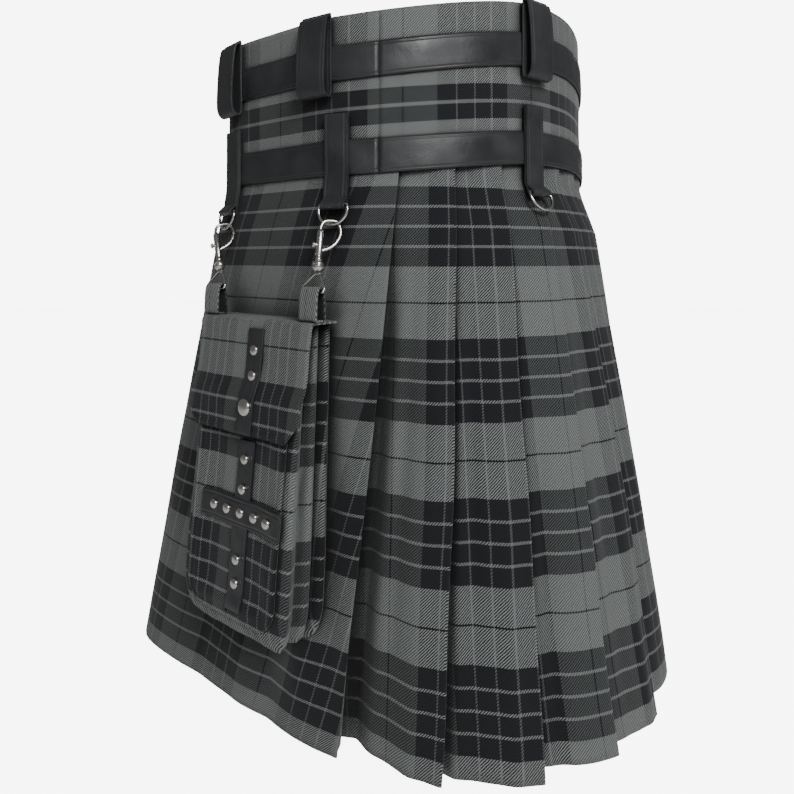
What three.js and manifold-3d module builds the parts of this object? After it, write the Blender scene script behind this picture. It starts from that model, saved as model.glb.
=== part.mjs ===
// Utility kilt: stitched yoke, over and under aprons, knife-pleated back, leather trim,
// five belt loops, five ring straps and two hanging cargo pockets. Millimetres, Z up.
// The wearer faces -Y, +X is the wearer's left. The origin is the middle of the waist.
import * as THREE from 'three';
import { mergeVertices } from 'three/addons/utils/BufferGeometryUtils.js';
import Module from 'manifold-3d';

const wasm = await Module();
wasm.setup();

// Driving sizes
const CLOTH = 1.4;
const LEATHER = 1.6;
const SEAM = 0.3;
const HEM_Z = -576;
const TOP_EDGE = { front: 25, back: 48 };
const UPPER_STRIP_TOP = { front: -0.5, back: 21 };
const LOWER_STRIP_TOP = { front: -80, back: -66 };
const STRIP_HEIGHT = 29;
const YOKE_SEAM_DROP = 15;
const UNDER_APRON_INSET = { top: 2.0, hem: 8 };
const LAYER_PITCH = 2.0;
const STRIP_LIFT = 0.7;
const LAYER_ON_STRIP = STRIP_LIFT + LEATHER + SEAM;

// Plan of the outside of the cloth, a rounded box in each of two halves
const SECTIONS = [
  { z: 60, side: 176, front: 150, back: 141, frontSquare: 6.5, backSquare: 2.0 },
  { z: -112, side: 177.5, front: 151, back: 144.5, frontSquare: 6.5, backSquare: 2.0 },
  { z: -154, side: 183, front: 158, back: 163, frontSquare: 7.5, backSquare: 2.0 },
  { z: -286, side: 191, front: 186, back: 188, frontSquare: 9, backSquare: 2.05 },
  { z: -400, side: 198, front: 211, back: 208, frontSquare: 10, backSquare: 2.1 },
  { z: -576, side: 209, front: 249, back: 235, frontSquare: 12, backSquare: 2.2 },
];

// Fold edges of the knife pleats: turn from the centre front at the yoke seam and at the
// hem, and how far the next face lies inside the edge there
const PLEAT_EDGES = [
  { seam: 118, hem: 106, seamRecess: 4.2, hemRecess: 20 },
  { seam: 134, hem: 129, seamRecess: 4.2, hemRecess: 11 },
  { seam: 150, hem: 148, seamRecess: 4.2, hemRecess: 20 },
  { seam: 166, hem: 166, seamRecess: 4.2, hemRecess: 14 },
  { seam: 181.5, hem: 184, seamRecess: 4.2, hemRecess: 19 },
  { seam: 197, hem: 202, seamRecess: 4.2, hemRecess: 13 },
  { seam: 212, hem: 220, seamRecess: 4.2, hemRecess: 18 },
  { seam: 227, hem: 237, seamRecess: 4.2, hemRecess: 12 },
  { seam: 242, hem: 254, seamRecess: 4.2, hemRecess: 12 },
];
const PLEAT_UNDERLAP = 0.28;
const FELL_SHARE = 0.2;
const FACE_STEPS = 3;
const SKIRT_HEIGHTS = [-112, -154, -215, -286, -400, HEM_Z];
const LAST_UNDERLAY = 9;

// Aprons, as turns from the centre front
const APRON_FREE_EDGE = { seam: -115.5, hem: -103.5 };
const UNDER_APRON_LEFT = 80;
const UNDER_APRON_ROWS = [0, 0.227, 0.2975, 0.4, 0.519, 0.711, 1];
const APRON_RETURN = 20;

// Places where the trim sits round the waist, as turns from the centre front. The front and side
// places are in pairs, and there is one at the back, a little left of its middle.
const LOOPS = [
  { name: 'front', turn: 59 },
  { name: 'side', turn: 94 },
  { name: 'back', turn: 164, single: true },
];
const STRAPS = [
  { name: 'front', turn: 59.5 },
  { name: 'side', turn: 100.5 },
  { name: 'back', turn: 163, single: true },
];
const LOOP = { width: 30, height: 68, standOff: 11.5 };
const STRAP = { width: 22, above: 22, barDrop: 54, eyeRadius: 4.0, holeRadius: 2.2 };
const RING = { halfBar: 12.8, drop: 17, wire: 1.3 };

// Hanging pocket on the wearer's left
const POCKET = { y: -25, top: -232, clear: 0.5, wall: 2 };
const POCKET_ROWS = [
  { z: -232, half: 57, depth: 29 },
  { z: -330, half: 60, depth: 34 },
  { z: -420, half: 63, depth: 39 },
  { z: -462, half: 63, depth: 40 },
  { z: -480, half: 58, depth: 37 },
  { z: -487, half: 51, depth: 32 },
];
const BELLOWS = [
  { out: 0, tuck: 0 },
  { out: 0.2, tuck: 6 },
  { out: 0.4, tuck: 0 },
  { out: 0.62, tuck: 6.5 },
  { out: 0.86, tuck: 0 },
  { out: 1, tuck: 3.5 },
];
const PATCH = { bottom: -474, half: 57, wall: 2, lift: 3.2 };
const FLAP = { half: 72, bottom: -324, wall: 2.2, chamfer: 15 };
const PATCH_ROWS = [-300, -345, -390, -430, -452, -466, -474];
const PATCH_CORNER = 24;
const FLAP_ROWS = [-252, -278, -298, -312];
const FLAP_STRIP_TOP = -238;
const STRIP_WIDTH = 19;
const CROSS = { s: 9, top: -329, bottom: -464, barZ: -387, barHeight: 22, barHalf: 51 };
const STUD = { radius: 4.6, height: 2.2, big: 7.4, bigHeight: 3 };
const FLAP_STUDS = [
  { z: -255, big: false },
  { z: -276, big: false },
  { z: -301, big: true },
];
const CROSS_STUDS = [
  { s: 0, z: -344 },
  { s: 0, z: -368 },
  { s: -35.2, z: -387 },
  { s: -17.6, z: -387 },
  { s: 0, z: -387 },
  { s: 17.6, z: -387 },
  { s: 35.2, z: -387 },
  { s: 0, z: -424 },
  { s: 0, z: -443 },
];
const TAB = { width: 20, height: 27, depth: 9, wall: 1.8, out: 22 };
const HANGERS = [
  { name: 'front', y: -90, strap: 0 },
  { name: 'side', y: 38, strap: 1 },
];
const HOOK = { barrel: 2.8, wire: 1.3, collar: 5, collarLength: 9, offset: 8.4 };
const LINK = { halfTop: 3.4, halfBase: 12.4, height: 15, wire: 1.1 };
const SNAP = { radius: 6.5, height: 2.4 };

const COLOURS = { cloth: 0x4b4e4f, leather: 0x17181a, metal: 0xc9c7c1 };

const lerp = (a, b, t) => a + (b - a) * t;
const clamp01 = (t) => Math.min(1, Math.max(0, t));
const smooth = (t) => clamp01(t) ** 2 * (3 - 2 * clamp01(t));
const radians = (deg) => (deg * Math.PI) / 180;

// Values of the plan at a height
function sectionAt(z) {
  const below = Math.max(1, SECTIONS.findIndex((row) => row.z <= z));
  const last = z < HEM_Z ? SECTIONS.length - 1 : below;
  const [a, b] = [SECTIONS[last - 1], SECTIONS[last]];
  const t = (z - a.z) / (b.z - a.z);
  const mix = (key) => lerp(a[key], b[key], t);
  return {
    side: mix('side'), front: mix('front'), back: mix('back'),
    frontSquare: mix('frontSquare'), backSquare: mix('backSquare'),
  };
}

// Point of the outer cloth at a turn from the centre front, in plan
function planPoint(turn, z) {
  const s = sectionAt(z);
  const [dx, dy] = [Math.sin(radians(turn)), -Math.cos(radians(turn))];
  const depth = dy < 0 ? s.front : s.back;
  const square = dy < 0 ? s.frontSquare : s.backSquare;
  const sum = Math.abs(dx / s.side) ** square + Math.abs(dy / depth) ** square;
  const r = sum ** (-1 / square);
  return new THREE.Vector2(r * dx, r * dy);
}

// Direction pointing straight out of the cloth, in plan
function outward(turn, z) {
  const step = planPoint(turn + 0.4, z).sub(planPoint(turn - 0.4, z)).normalize();
  return new THREE.Vector2(step.y, -step.x);
}

// Point moved out from the cloth
function onCloth(turn, z, out = 0) {
  const p = planPoint(turn, z).addScaledVector(outward(turn, z), out);
  return new THREE.Vector3(p.x, p.y, z);
}

// A level that rises from the hips to the centre back
function level(heights, turn) {
  const round = Math.abs(((turn + 540) % 360) - 180);
  return lerp(heights.front, heights.back, smooth((round - 100) / 75));
}

const seamLevel = (turn) => level(LOWER_STRIP_TOP, turn) - YOKE_SEAM_DROP;

// Indexed triangles to a solid, turned so that its faces point out
function solidFrom(points, triangles) {
  let volume = 0;
  for (const [a, b, c] of triangles) {
    volume += points[a].dot(new THREE.Vector3().crossVectors(points[b], points[c]));
  }
  const faces = volume < 0 ? triangles.map(([a, b, c]) => [a, c, b]) : triangles;
  const geometry = new THREE.BufferGeometry();
  geometry.setAttribute('position', new THREE.Float32BufferAttribute(points.flatMap((p) => [...p]), 3));
  geometry.setIndex(faces.flat());
  return geometry;
}

// Two faces of cloth, given as rows of points, closed round their edges
function slab(outer, inner) {
  const [rows, columns] = [outer.length, outer[0].length];
  const points = [...outer.flat(), ...inner.flat()];
  const at = (side, i, j) => side * rows * columns + i * columns + j;
  const triangles = [];
  const quad = (a, b, c, d) => triangles.push([a, b, c], [a, c, d]);
  for (let i = 0; i < rows - 1; i++) {
    for (let j = 0; j < columns - 1; j++) {
      quad(at(0, i, j), at(0, i + 1, j), at(0, i + 1, j + 1), at(0, i, j + 1));
      quad(at(1, i, j), at(1, i, j + 1), at(1, i + 1, j + 1), at(1, i + 1, j));
    }
  }
  for (let j = 0; j < columns - 1; j++) {
    quad(at(0, 0, j), at(0, 0, j + 1), at(1, 0, j + 1), at(1, 0, j));
    quad(at(0, rows - 1, j + 1), at(0, rows - 1, j), at(1, rows - 1, j), at(1, rows - 1, j + 1));
  }
  for (let i = 0; i < rows - 1; i++) {
    quad(at(0, i + 1, 0), at(0, i, 0), at(1, i, 0), at(1, i + 1, 0));
    quad(at(0, i, columns - 1), at(0, i + 1, columns - 1), at(1, i + 1, columns - 1), at(1, i, columns - 1));
  }
  return solidFrom(points, triangles);
}

// Turns between two ends, closer together at the front corners
function turnsBetween(from, to, spacing = 7, cornerSpacing = 3.4) {
  const turns = [from];
  while (turns.at(-1) < to - 0.5) {
    const last = turns.at(-1);
    const corner = Math.abs(last) > 24 && Math.abs(last) < 58;
    turns.push(Math.min(to, last + (corner ? cornerSpacing : spacing)));
  }
  return turns;
}

// Turns that all the front walls share, so that their flats lie on each other
const FRONT_TURNS = turnsBetween(-100, 90);

// Turns of a front or a back length
function roundTurns(from, to) {
  return to < 180 ? [from, -107, ...FRONT_TURNS, 97, 104, to] : turnsBetween(from, to);
}

// Wall between two levels, with turns that may fan from the top to the bottom
function wall(turnsAt, top, bottom, shares, outAt, thickness) {
  const face = (extra) => shares.map((share) => turnsAt(share).map((turn) => {
    const z = lerp(top(turn), bottom(turn), share);
    return onCloth(turn, z, outAt(share) + extra);
  }));
  return slab(face(0), face(-thickness));
}

// Share of the way down to the hem at which the pleats have opened
const opened = (share) => clamp01((share - FELL_SHARE * 0.5) / (1 - FELL_SHARE * 0.5));
const edgeTurn = (edge, share) => lerp(edge.seam, edge.hem, share);
const recess = (edge, share) => lerp(edge.seamRecess, edge.hemRecess, opened(share));

// Half round of a fold, from one layer to the next
function foldRound(turn, inset, reach) {
  return [30, 90, 150].map((angle) => ({
    turn,
    along: reach * Math.sin(radians(angle)) * LAYER_PITCH * 0.5,
    inset: inset + LAYER_PITCH * 0.5 * (1 - Math.cos(radians(angle))),
  }));
}

// Middle line of the pleated cloth at a share of the way down
function pleatLine(share) {
  const line = [];
  const first = PLEAT_EDGES[0];
  const start = edgeTurn(first, share);
  line.push({ turn: start - 5.5, along: 0, inset: recess(first, share) + CLOTH / 2 + 0.6 });
  for (let k = 0; k < PLEAT_EDGES.length - 1; k++) {
    const [from, to] = [PLEAT_EDGES[k], PLEAT_EDGES[k + 1]];
    const [a, b] = [edgeTurn(from, share), edgeTurn(to, share)];
    const [deep, nextDeep] = [recess(from, share), recess(to, share)];
    for (let i = 0; i <= FACE_STEPS; i++) {
      const f = i / FACE_STEPS;
      const drop = i === FACE_STEPS ? 0 : deep * (1 - f) ** 1.15;
      line.push({ turn: lerp(a, b, f), along: i === FACE_STEPS ? -1.5 : 0, inset: drop + CLOTH / 2 });
    }
    line.push(...foldRound(b, CLOTH / 2, 1));
    const tuck = deep * PLEAT_UNDERLAP ** 1.15;
    const inner = Math.max(tuck + LAYER_PITCH, nextDeep - LAYER_PITCH) + CLOTH / 2;
    const back = lerp(b, a, PLEAT_UNDERLAP);
    line.push(...foldRound(back, inner, -1));
  }
  const end = PLEAT_EDGES.at(-1);
  const endTurn = edgeTurn(end, share);
  line.push({ turn: endTurn, along: 0, inset: recess(end, share) + CLOTH / 2 });
  line.push({ turn: endTurn + LAST_UNDERLAY, along: 0, inset: lerp(4.6, UNDER_APRON_INSET.hem, share) + CLOTH / 2 });
  return line;
}

// Wall of cloth along a folded middle line, which may change from the top to the hem
function foldedWall(lineAt) {
  const faces = [[], []];
  const seam = LOWER_STRIP_TOP.front - YOKE_SEAM_DROP;
  for (const height of [seam, ...SKIRT_HEIGHTS]) {
    const share = (height - seam) / (HEM_Z - seam);
    const points = lineAt(share).map(({ turn, along, inset }) => {
      const z = height === seam ? seamLevel(turn) - SEAM : height;
      const shifted = turn + (along / planPoint(turn, z).length()) * (180 / Math.PI);
      return onCloth(shifted, z, -inset);
    });
    const sides = points.map((point, i) => {
      const before = points[Math.max(0, i - 1)];
      const after = points[Math.min(points.length - 1, i + 1)];
      const normals = [point.clone().sub(before), after.clone().sub(point)]
        .filter((step) => Math.hypot(step.x, step.y) > 1e-6)
        .map((step) => new THREE.Vector3(step.y, -step.x, 0).normalize());
      return normals.reduce((sum, n) => sum.add(n), new THREE.Vector3()).normalize();
    });
    faces[0].push(points.map((p, i) => p.clone().addScaledVector(sides[i], CLOTH / 2)));
    faces[1].push(points.map((p, i) => p.clone().addScaledVector(sides[i], -CLOTH / 2)));
  }
  return slab(faces[0], faces[1]);
}

// Pleated back, one length of cloth in eight knife pleats
const pleatedBack = () => foldedWall(pleatLine);

// Over apron, with its folded edge at the left hip and a free edge at the right
function overApron() {
  const first = PLEAT_EDGES[0];
  return foldedWall((share) => {
    const free = lerp(APRON_FREE_EDGE.seam, APRON_FREE_EDGE.hem, share);
    const fold = edgeTurn(first, share);
    const line = [{ turn: free, along: 0, inset: CLOTH / 2 }];
    FRONT_TURNS.forEach((turn) => line.push({ turn, along: 0, inset: CLOTH / 2 }));
    line.push({ turn: lerp(90, fold, 0.5), along: 0, inset: CLOTH / 2 });
    line.push({ turn: fold, along: -1.5, inset: CLOTH / 2 });
    line.push(...foldRound(fold, CLOTH / 2, 1));
    const deep = Math.max(LAYER_PITCH, recess(first, share) - LAYER_PITCH - 0.4);
    const back = -APRON_RETURN * lerp(0.6, 0.5, share);
    line.push({ turn: fold, along: back, inset: deep + CLOTH / 2 });
    return line;
  });
}

// Under apron, one smooth layer inside the front
function underApron() {
  const turnsAt = (share) => {
    const from = edgeTurn(PLEAT_EDGES.at(-1), share) - 360 + LAST_UNDERLAY + 0.35;
    return [from, ...FRONT_TURNS.filter((turn) => turn > -94 && turn <= UNDER_APRON_LEFT)];
  };
  const top = (turn) => level(TOP_EDGE, turn) - 2;
  const bottom = () => HEM_Z + 4;
  const outAt = (share) => -lerp(UNDER_APRON_INSET.top, UNDER_APRON_INSET.hem, Math.sqrt(share));
  return wall(turnsAt, top, bottom, UNDER_APRON_ROWS, outAt, CLOTH);
}

// Part of the yoke between two turns
function yoke(from, to) {
  const turnsAt = () => roundTurns(from, to);
  return wall(turnsAt, (turn) => level(TOP_EDGE, turn), seamLevel, [0, 0.5, 1], () => 0, CLOTH);
}

// Leather strip laid round the cloth
function strip(top, from, to) {
  const turnsAt = () => roundTurns(from, to);
  const upper = (turn) => level(top, turn);
  return wall(turnsAt, upper, (turn) => upper(turn) - STRIP_HEIGHT, [0, 1], () => STRIP_LIFT + LEATHER, LEATHER);
}

// Frame that stands on the cloth: x runs round the waist, y points out, z is up
function placeOnCloth(geometry, turn) {
  const n = outward(turn, 0);
  const along = new THREE.Vector3(n.y, -n.x, 0);
  const basis = new THREE.Matrix4().makeBasis(along, new THREE.Vector3(n.x, n.y, 0), new THREE.Vector3(0, 0, 1));
  return geometry.applyMatrix4(basis);
}

// Distance of the cloth from the upright plane through the origin that faces a turn
function standing(turn, z) {
  const n = outward(turn, 0);
  return planPoint(turn, z).dot(n);
}
const sideways = (turn) => {
  const n = outward(turn, 0);
  return planPoint(turn, 0).dot(new THREE.Vector2(n.y, -n.x));
};

// Outline in the upright plane, given a width round the waist
function extrudeBand(shape, turn, width) {
  const geometry = new THREE.ExtrudeGeometry(shape, { depth: width, bevelEnabled: false, steps: 1, curveSegments: 6 });
  const toFrame = new THREE.Matrix4().makeBasis(
    new THREE.Vector3(0, 1, 0), new THREE.Vector3(0, 0, 1), new THREE.Vector3(1, 0, 0));
  toFrame.setPosition(sideways(turn) - width / 2, 0, 0);
  return placeOnCloth(clean(geometry.applyMatrix4(toFrame)), turn);
}

// Geometry with shared corners only
function clean(geometry) {
  geometry.deleteAttribute('normal');
  geometry.deleteAttribute('uv');
  return mergeVertices(geometry, 1e-4);
}

// Closed strip of material of an even thickness round a loop of points
function bandShape(points, thickness) {
  const moved = (distance) => points.map((p, i) => {
    const before = points[(i + points.length - 1) % points.length];
    const after = points[(i + 1) % points.length];
    const tangent = after.clone().sub(before).normalize();
    return new THREE.Vector2(p.x + tangent.y * distance, p.y - tangent.x * distance);
  });
  const shape = new THREE.Shape(moved(thickness / 2));
  shape.holes.push(new THREE.Path(moved(-thickness / 2).reverse()));
  return shape;
}

// Belt loop: a strap folded back on itself that stands off the waist
function beltLoop(turn) {
  const top = level(TOP_EDGE, turn) - 0.5;
  const near = standing(turn, 0) + LAYER_ON_STRIP + LEATHER / 2;
  const rows = [
    { out: 0, down: 0 }, { out: 0, down: 0.5 }, { out: 0, down: 0.95 },
    { out: 0.3, down: 1 }, { out: 0.75, down: 0.97 }, { out: 1, down: 0.86 },
    { out: 0.97, down: 0.6 }, { out: 0.8, down: 0.25 }, { out: 0.55, down: 0.04 }, { out: 0.25, down: 0 },
  ];
  const points = rows.map((row) => new THREE.Vector2(
    near + row.out * (LOOP.standOff - LEATHER), top - LEATHER / 2 - row.down * (LOOP.height - LEATHER)));
  return extrudeBand(bandShape(points, LEATHER), turn, LOOP.width);
}

// Height and stand-off of the bar that a ring hangs on
function ringBar(turn) {
  const z = level(LOWER_STRIP_TOP, turn) - STRAP.barDrop;
  return { z, out: standing(turn, z) + LAYER_ON_STRIP + STRAP.eyeRadius };
}

// Ring strap: two layers sewn flat, folded round the ring's bar
function ringStrap(turn) {
  const bar = ringBar(turn);
  const top = level(LOWER_STRIP_TOP, turn) + STRAP.above;
  const thick = 2 * LEATHER + 0.2;
  const heights = [top, level(LOWER_STRIP_TOP, turn) - STRIP_HEIGHT, bar.z + STRAP.eyeRadius + 1.5];
  const outline = [];
  heights.forEach((z) => outline.push([standing(turn, z) + LAYER_ON_STRIP, z]));
  for (let i = 1; i <= 9; i++) {
    const angle = radians(180 + i * 24);
    outline.push([bar.out + STRAP.eyeRadius * Math.cos(angle), bar.z + STRAP.eyeRadius * Math.sin(angle)]);
  }
  [...heights].reverse().forEach((z) => outline.push([standing(turn, z) + LAYER_ON_STRIP + thick, z]));
  const shape = new THREE.Shape(outline.map(([x, y]) => new THREE.Vector2(x, y)));
  const hole = new THREE.Path();
  hole.absarc(bar.out, bar.z, STRAP.holeRadius, 0, Math.PI * 2, true);
  shape.holes.push(hole);
  return extrudeBand(shape, turn, STRAP.width);
}

// Round wire along a closed flat path
function closedWire(path, across, radius, sides) {
  const points = [];
  path.forEach((p, i) => {
    const before = path[(i + path.length - 1) % path.length];
    const after = path[(i + 1) % path.length];
    const side = new THREE.Vector3().crossVectors(after.clone().sub(before).normalize(), across).normalize();
    for (let k = 0; k < sides; k++) {
      const angle = (2 * Math.PI * k) / sides;
      points.push(p.clone().addScaledVector(side, radius * Math.cos(angle))
        .addScaledVector(across, radius * Math.sin(angle)));
    }
  });
  const triangles = [];
  const at = (i, k) => (i % path.length) * sides + (k % sides);
  for (let i = 0; i < path.length; i++) {
    for (let k = 0; k < sides; k++) {
      triangles.push([at(i, k), at(i + 1, k), at(i + 1, k + 1)], [at(i, k), at(i + 1, k + 1), at(i, k + 1)]);
    }
  }
  return solidFrom(points, triangles);
}

// Frame of a ring: its bar's middle, the way round the waist, and down along the cloth
function ringFrame(turn) {
  const bar = ringBar(turn);
  const n = outward(turn, 0);
  const along = new THREE.Vector3(n.y, -n.x, 0);
  const out = new THREE.Vector3(n.x, n.y, 0);
  const centre = new THREE.Vector3().addScaledVector(along, sideways(turn)).addScaledVector(out, bar.out);
  centre.z = bar.z;
  const lower = bar.z - RING.drop;
  const flare = standing(turn, lower) - standing(turn, bar.z) + 0.8;
  const down = new THREE.Vector3(0, 0, -RING.drop).addScaledVector(out, flare).normalize();
  return { centre, along, out, down };
}

// D ring lying along the slope of the skirt
function dRing(turn) {
  const { centre, along, down } = ringFrame(turn);
  const path = [];
  const add = (x, y) => path.push(centre.clone().addScaledVector(along, x).addScaledVector(down, y));
  add(-RING.halfBar, 0);
  add(0, 0);
  add(RING.halfBar, 0);
  for (let i = 0; i <= 10; i++) {
    const angle = radians(i * 18);
    add((RING.halfBar + 0.8) * Math.cos(angle), 4 + (RING.drop - 4) * Math.sin(angle));
  }
  const across = new THREE.Vector3().crossVectors(along, down).normalize();
  return closedWire(path, across, RING.wire, 8);
}

const ringBottom = (turn) => {
  const { centre, down } = ringFrame(turn);
  return centre.addScaledVector(down, RING.drop);
};

// Pocket frame: s along the hip, out from the cloth, z up
const pocketPoint = (s, out, z) => new THREE.Vector3(sectionAt(z).side + out, POCKET.y + s, z);

function pocketRow(z) {
  const i = Math.max(1, POCKET_ROWS.findIndex((row) => row.z <= z));
  const [a, b] = [POCKET_ROWS[i - 1], POCKET_ROWS[i]];
  const t = clamp01((z - a.z) / (b.z - a.z));
  return { half: lerp(a.half, b.half, t), depth: lerp(a.depth, b.depth, t) };
}

// Ring of the bag at a row, with the folds of its bellows on both sides
function bagRing(row, inset) {
  const ring = [];
  const depth = row.depth - 2 * inset;
  const side = (sign, fold) => ring.push([sign * (row.half - inset - fold.tuck), inset + fold.out * depth]);
  BELLOWS.forEach((fold) => side(1, fold));
  ring.push([0, inset + depth]);
  [...BELLOWS].reverse().forEach((fold) => side(-1, fold));
  ring.push([0, inset]);
  return ring.map(([s, out]) => pocketPoint(s, POCKET.clear + out, row.z));
}

// Bag of the pocket, open at the top
function pocketBag() {
  const outer = POCKET_ROWS.map((row) => bagRing(row, 0));
  const insideRows = POCKET_ROWS.slice(0, -1).map((row, i, all) => (
    i === all.length - 1 ? { ...row, z: row.z - 1.5 } : row));
  const inner = insideRows.map((row) => bagRing(row, POCKET.wall));
  const count = outer[0].length;
  const points = [...outer.flat(), ...inner.flat()];
  const triangles = [];
  const innerStart = outer.length * count;
  const quad = (a, b, c, d) => triangles.push([a, b, c], [a, c, d]);
  const around = (start, rows, flip) => {
    for (let i = 0; i < rows - 1; i++) {
      for (let j = 0; j < count; j++) {
        const k = (j + 1) % count;
        const [a, b] = [start + i * count, start + (i + 1) * count];
        if (flip) quad(a + j, a + k, b + k, b + j);
        else quad(a + j, b + j, b + k, a + k);
      }
    }
  };
  around(0, outer.length, false);
  around(innerStart, inner.length, true);
  for (let j = 0; j < count; j++) {
    const k = (j + 1) % count;
    quad(j, k, innerStart + k, innerStart + j);
  }
  const floor = (start, flip) => {
    const middle = points.length;
    const sum = new THREE.Vector3();
    for (let j = 0; j < count; j++) sum.add(points[start + j]);
    points.push(sum.divideScalar(count));
    for (let j = 0; j < count; j++) {
      const k = (j + 1) % count;
      triangles.push(flip ? [middle, start + k, start + j] : [middle, start + j, start + k]);
    }
  };
  floor((outer.length - 1) * count, true);
  floor(innerStart + (inner.length - 1) * count, false);
  return solidFrom(points, triangles);
}

// Stand-off of the bag's front at a height
const bagFront = (z) => POCKET.clear + pocketRow(z).depth;

// How far the patch stands off the bag at a place
function patchLift(s, z) {
  const fromEdge = Math.min(PATCH.half - Math.abs(s), z - PATCH.bottom, 30);
  return SEAM + PATCH.lift * smooth(1 - fromEdge / 30);
}
const patchFront = (s, z) => bagFront(z) + patchLift(s, z) + PATCH.wall;

// Patch on the front of the bag, with round lower corners
function pocketPatch() {
  const halfAt = (z) => {
    const low = clamp01((PATCH.bottom + PATCH_CORNER - z) / PATCH_CORNER);
    return PATCH.half - PATCH_CORNER * (1 - Math.sqrt(1 - low ** 2 * 0.96));
  };
  const steps = [-1, -0.75, -0.4, 0, 0.4, 0.75, 1];
  const face = (extra) => PATCH_ROWS.map((z) => steps.map((f) => {
    const s = f * halfAt(z);
    return pocketPoint(s, bagFront(z) + patchLift(s, z) + extra, z);
  }));
  return slab(face(PATCH.wall), face(0));
}

// Stand-off of the flap's inside at a height
const flapInside = (z) => Math.max(bagFront(z) + 0.8, bagFront(z) + (SEAM + PATCH.lift + PATCH.wall + 0.6)
  * smooth((-270 - z) / 28));

// Flap that folds over the top of the bag and hangs down its front
function pocketFlap() {
  const over = POCKET.top + 0.6;
  const profile = [
    { out: 1.4, z: over, up: 1 },
    { out: 0.5 * bagFront(POCKET.top), z: over, up: 1 },
  ];
  const zs = [...FLAP_ROWS, FLAP.bottom];
  const steps = [-1, -0.6, -0.2, 0.2, 0.6, 1];
  const halfAt = (z) => FLAP.half - Math.max(0, FLAP.bottom + FLAP.chamfer - z) * 0.9;
  const rowsOf = (extra) => [
    ...profile.map((row) => steps.map((f) => pocketPoint(f * FLAP.half, row.out, row.z + extra))),
    steps.map((f) => pocketPoint(f * FLAP.half, flapInside(POCKET.top - 1) - 0.4 + extra * 0.6, over + extra * 0.75)),
    ...zs.map((z) => steps.map((f) => pocketPoint(f * halfAt(z), flapInside(z) + extra, z))),
  ];
  return slab(rowsOf(FLAP.wall), rowsOf(0));
}

// Stand-off of what lies on the pocket's front
const onFlap = (z) => flapInside(z) + FLAP.wall + 0.7;
const onPatch = (s, z) => patchFront(s, z) + 0.9;

// Manifold solid from a clean geometry
function toSolid(geometry) {
  return new wasm.Manifold(new wasm.Mesh({
    numProp: 3,
    vertProperties: new Float32Array(geometry.attributes.position.array),
    triVerts: new Uint32Array(geometry.index.array),
  }));
}

function fromSolid(solid) {
  const mesh = solid.getMesh();
  const geometry = new THREE.BufferGeometry();
  geometry.setAttribute('position', new THREE.BufferAttribute(new Float32Array(mesh.vertProperties), 3));
  geometry.setIndex(new THREE.BufferAttribute(new Uint32Array(mesh.triVerts), 1));
  return mergeVertices(geometry, 1e-4);
}

const joined = (geometries) => fromSolid(geometries.map(toSolid).reduce((a, b) => a.add(b)));

// Low dome of a stud, its foot sunk into the leather
function stud(s, out, z, radius, height) {
  const profile = [
    new THREE.Vector2(0, -0.8), new THREE.Vector2(radius * 0.9, -0.8), new THREE.Vector2(radius, 0.4),
    new THREE.Vector2(radius * 0.62, height * 0.8), new THREE.Vector2(0, height),
  ];
  const dome = clean(new THREE.LatheGeometry(profile, 8).rotateZ(-Math.PI / 2));
  const place = pocketPoint(s, out, z);
  return solidFromIndexed(dome.translate(place.x, place.y, place.z));
}

function solidFromIndexed(geometry) {
  const p = geometry.attributes.position;
  const points = [];
  for (let i = 0; i < p.count; i++) points.push(new THREE.Vector3().fromBufferAttribute(p, i));
  const triangles = [];
  const index = geometry.index.array;
  for (let i = 0; i < index.length; i += 3) {
    const [a, b, c] = [index[i], index[i + 1], index[i + 2]];
    if (a !== b && b !== c && a !== c) triangles.push([a, b, c]);
  }
  return solidFrom(points, triangles);
}

// Piece of leather that follows a surface, given by its rows
function leatherPiece(zs, steps, outAt) {
  const face = (extra) => zs.map((z) => steps.map((s) => pocketPoint(s, outAt(s, z) + extra, z)));
  return slab(face(LEATHER), face(0));
}

// Strip down the flap with its three studs
function flapStrip() {
  const [a, b] = [CROSS.s - STRIP_WIDTH / 2, CROSS.s + STRIP_WIDTH / 2];
  const band = leatherPiece([FLAP_STRIP_TOP, ...FLAP_ROWS, FLAP.bottom + 1], [a, b], (s, z) => onFlap(z));
  const studs = FLAP_STUDS.map(({ z, big }) => stud(
    CROSS.s, onFlap(z) + LEATHER, z, big ? STUD.big : STUD.radius, big ? STUD.bigHeight : STUD.height));
  return joined([band, ...studs]);
}

// Cross on the patch, an upright and a bar in one layer, with nine studs
function pocketCross() {
  const half = STRIP_WIDTH / 2;
  const out = (s, z) => onPatch(0, Math.max(z, -430)) + (z < -430 ? patchRise(z) : 0);
  const upright = leatherPiece(
    [CROSS.top, CROSS.barZ, -430, -446, CROSS.bottom], [CROSS.s - half, CROSS.s + half], out);
  const barZs = [CROSS.barZ + CROSS.barHeight / 2, CROSS.barZ - CROSS.barHeight / 2];
  const reach = [-1, -0.55, 0, 0.55, 1].map((f) => CROSS.s + f * CROSS.barHalf);
  const bar = leatherPiece(barZs, reach, (s, z) => Math.max(onPatch(s, z), onPatch(0, z)));
  const studs = CROSS_STUDS.map(({ s, z }) => {
    const foot = Math.max(onPatch(CROSS.s + s, z), out(0, z));
    return stud(CROSS.s + s, foot + LEATHER, z, STUD.radius, STUD.height);
  });
  return joined([upright, bar, ...studs]);
}
const patchRise = (z) => onPatch(0, z) - onPatch(0, -430);

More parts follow.
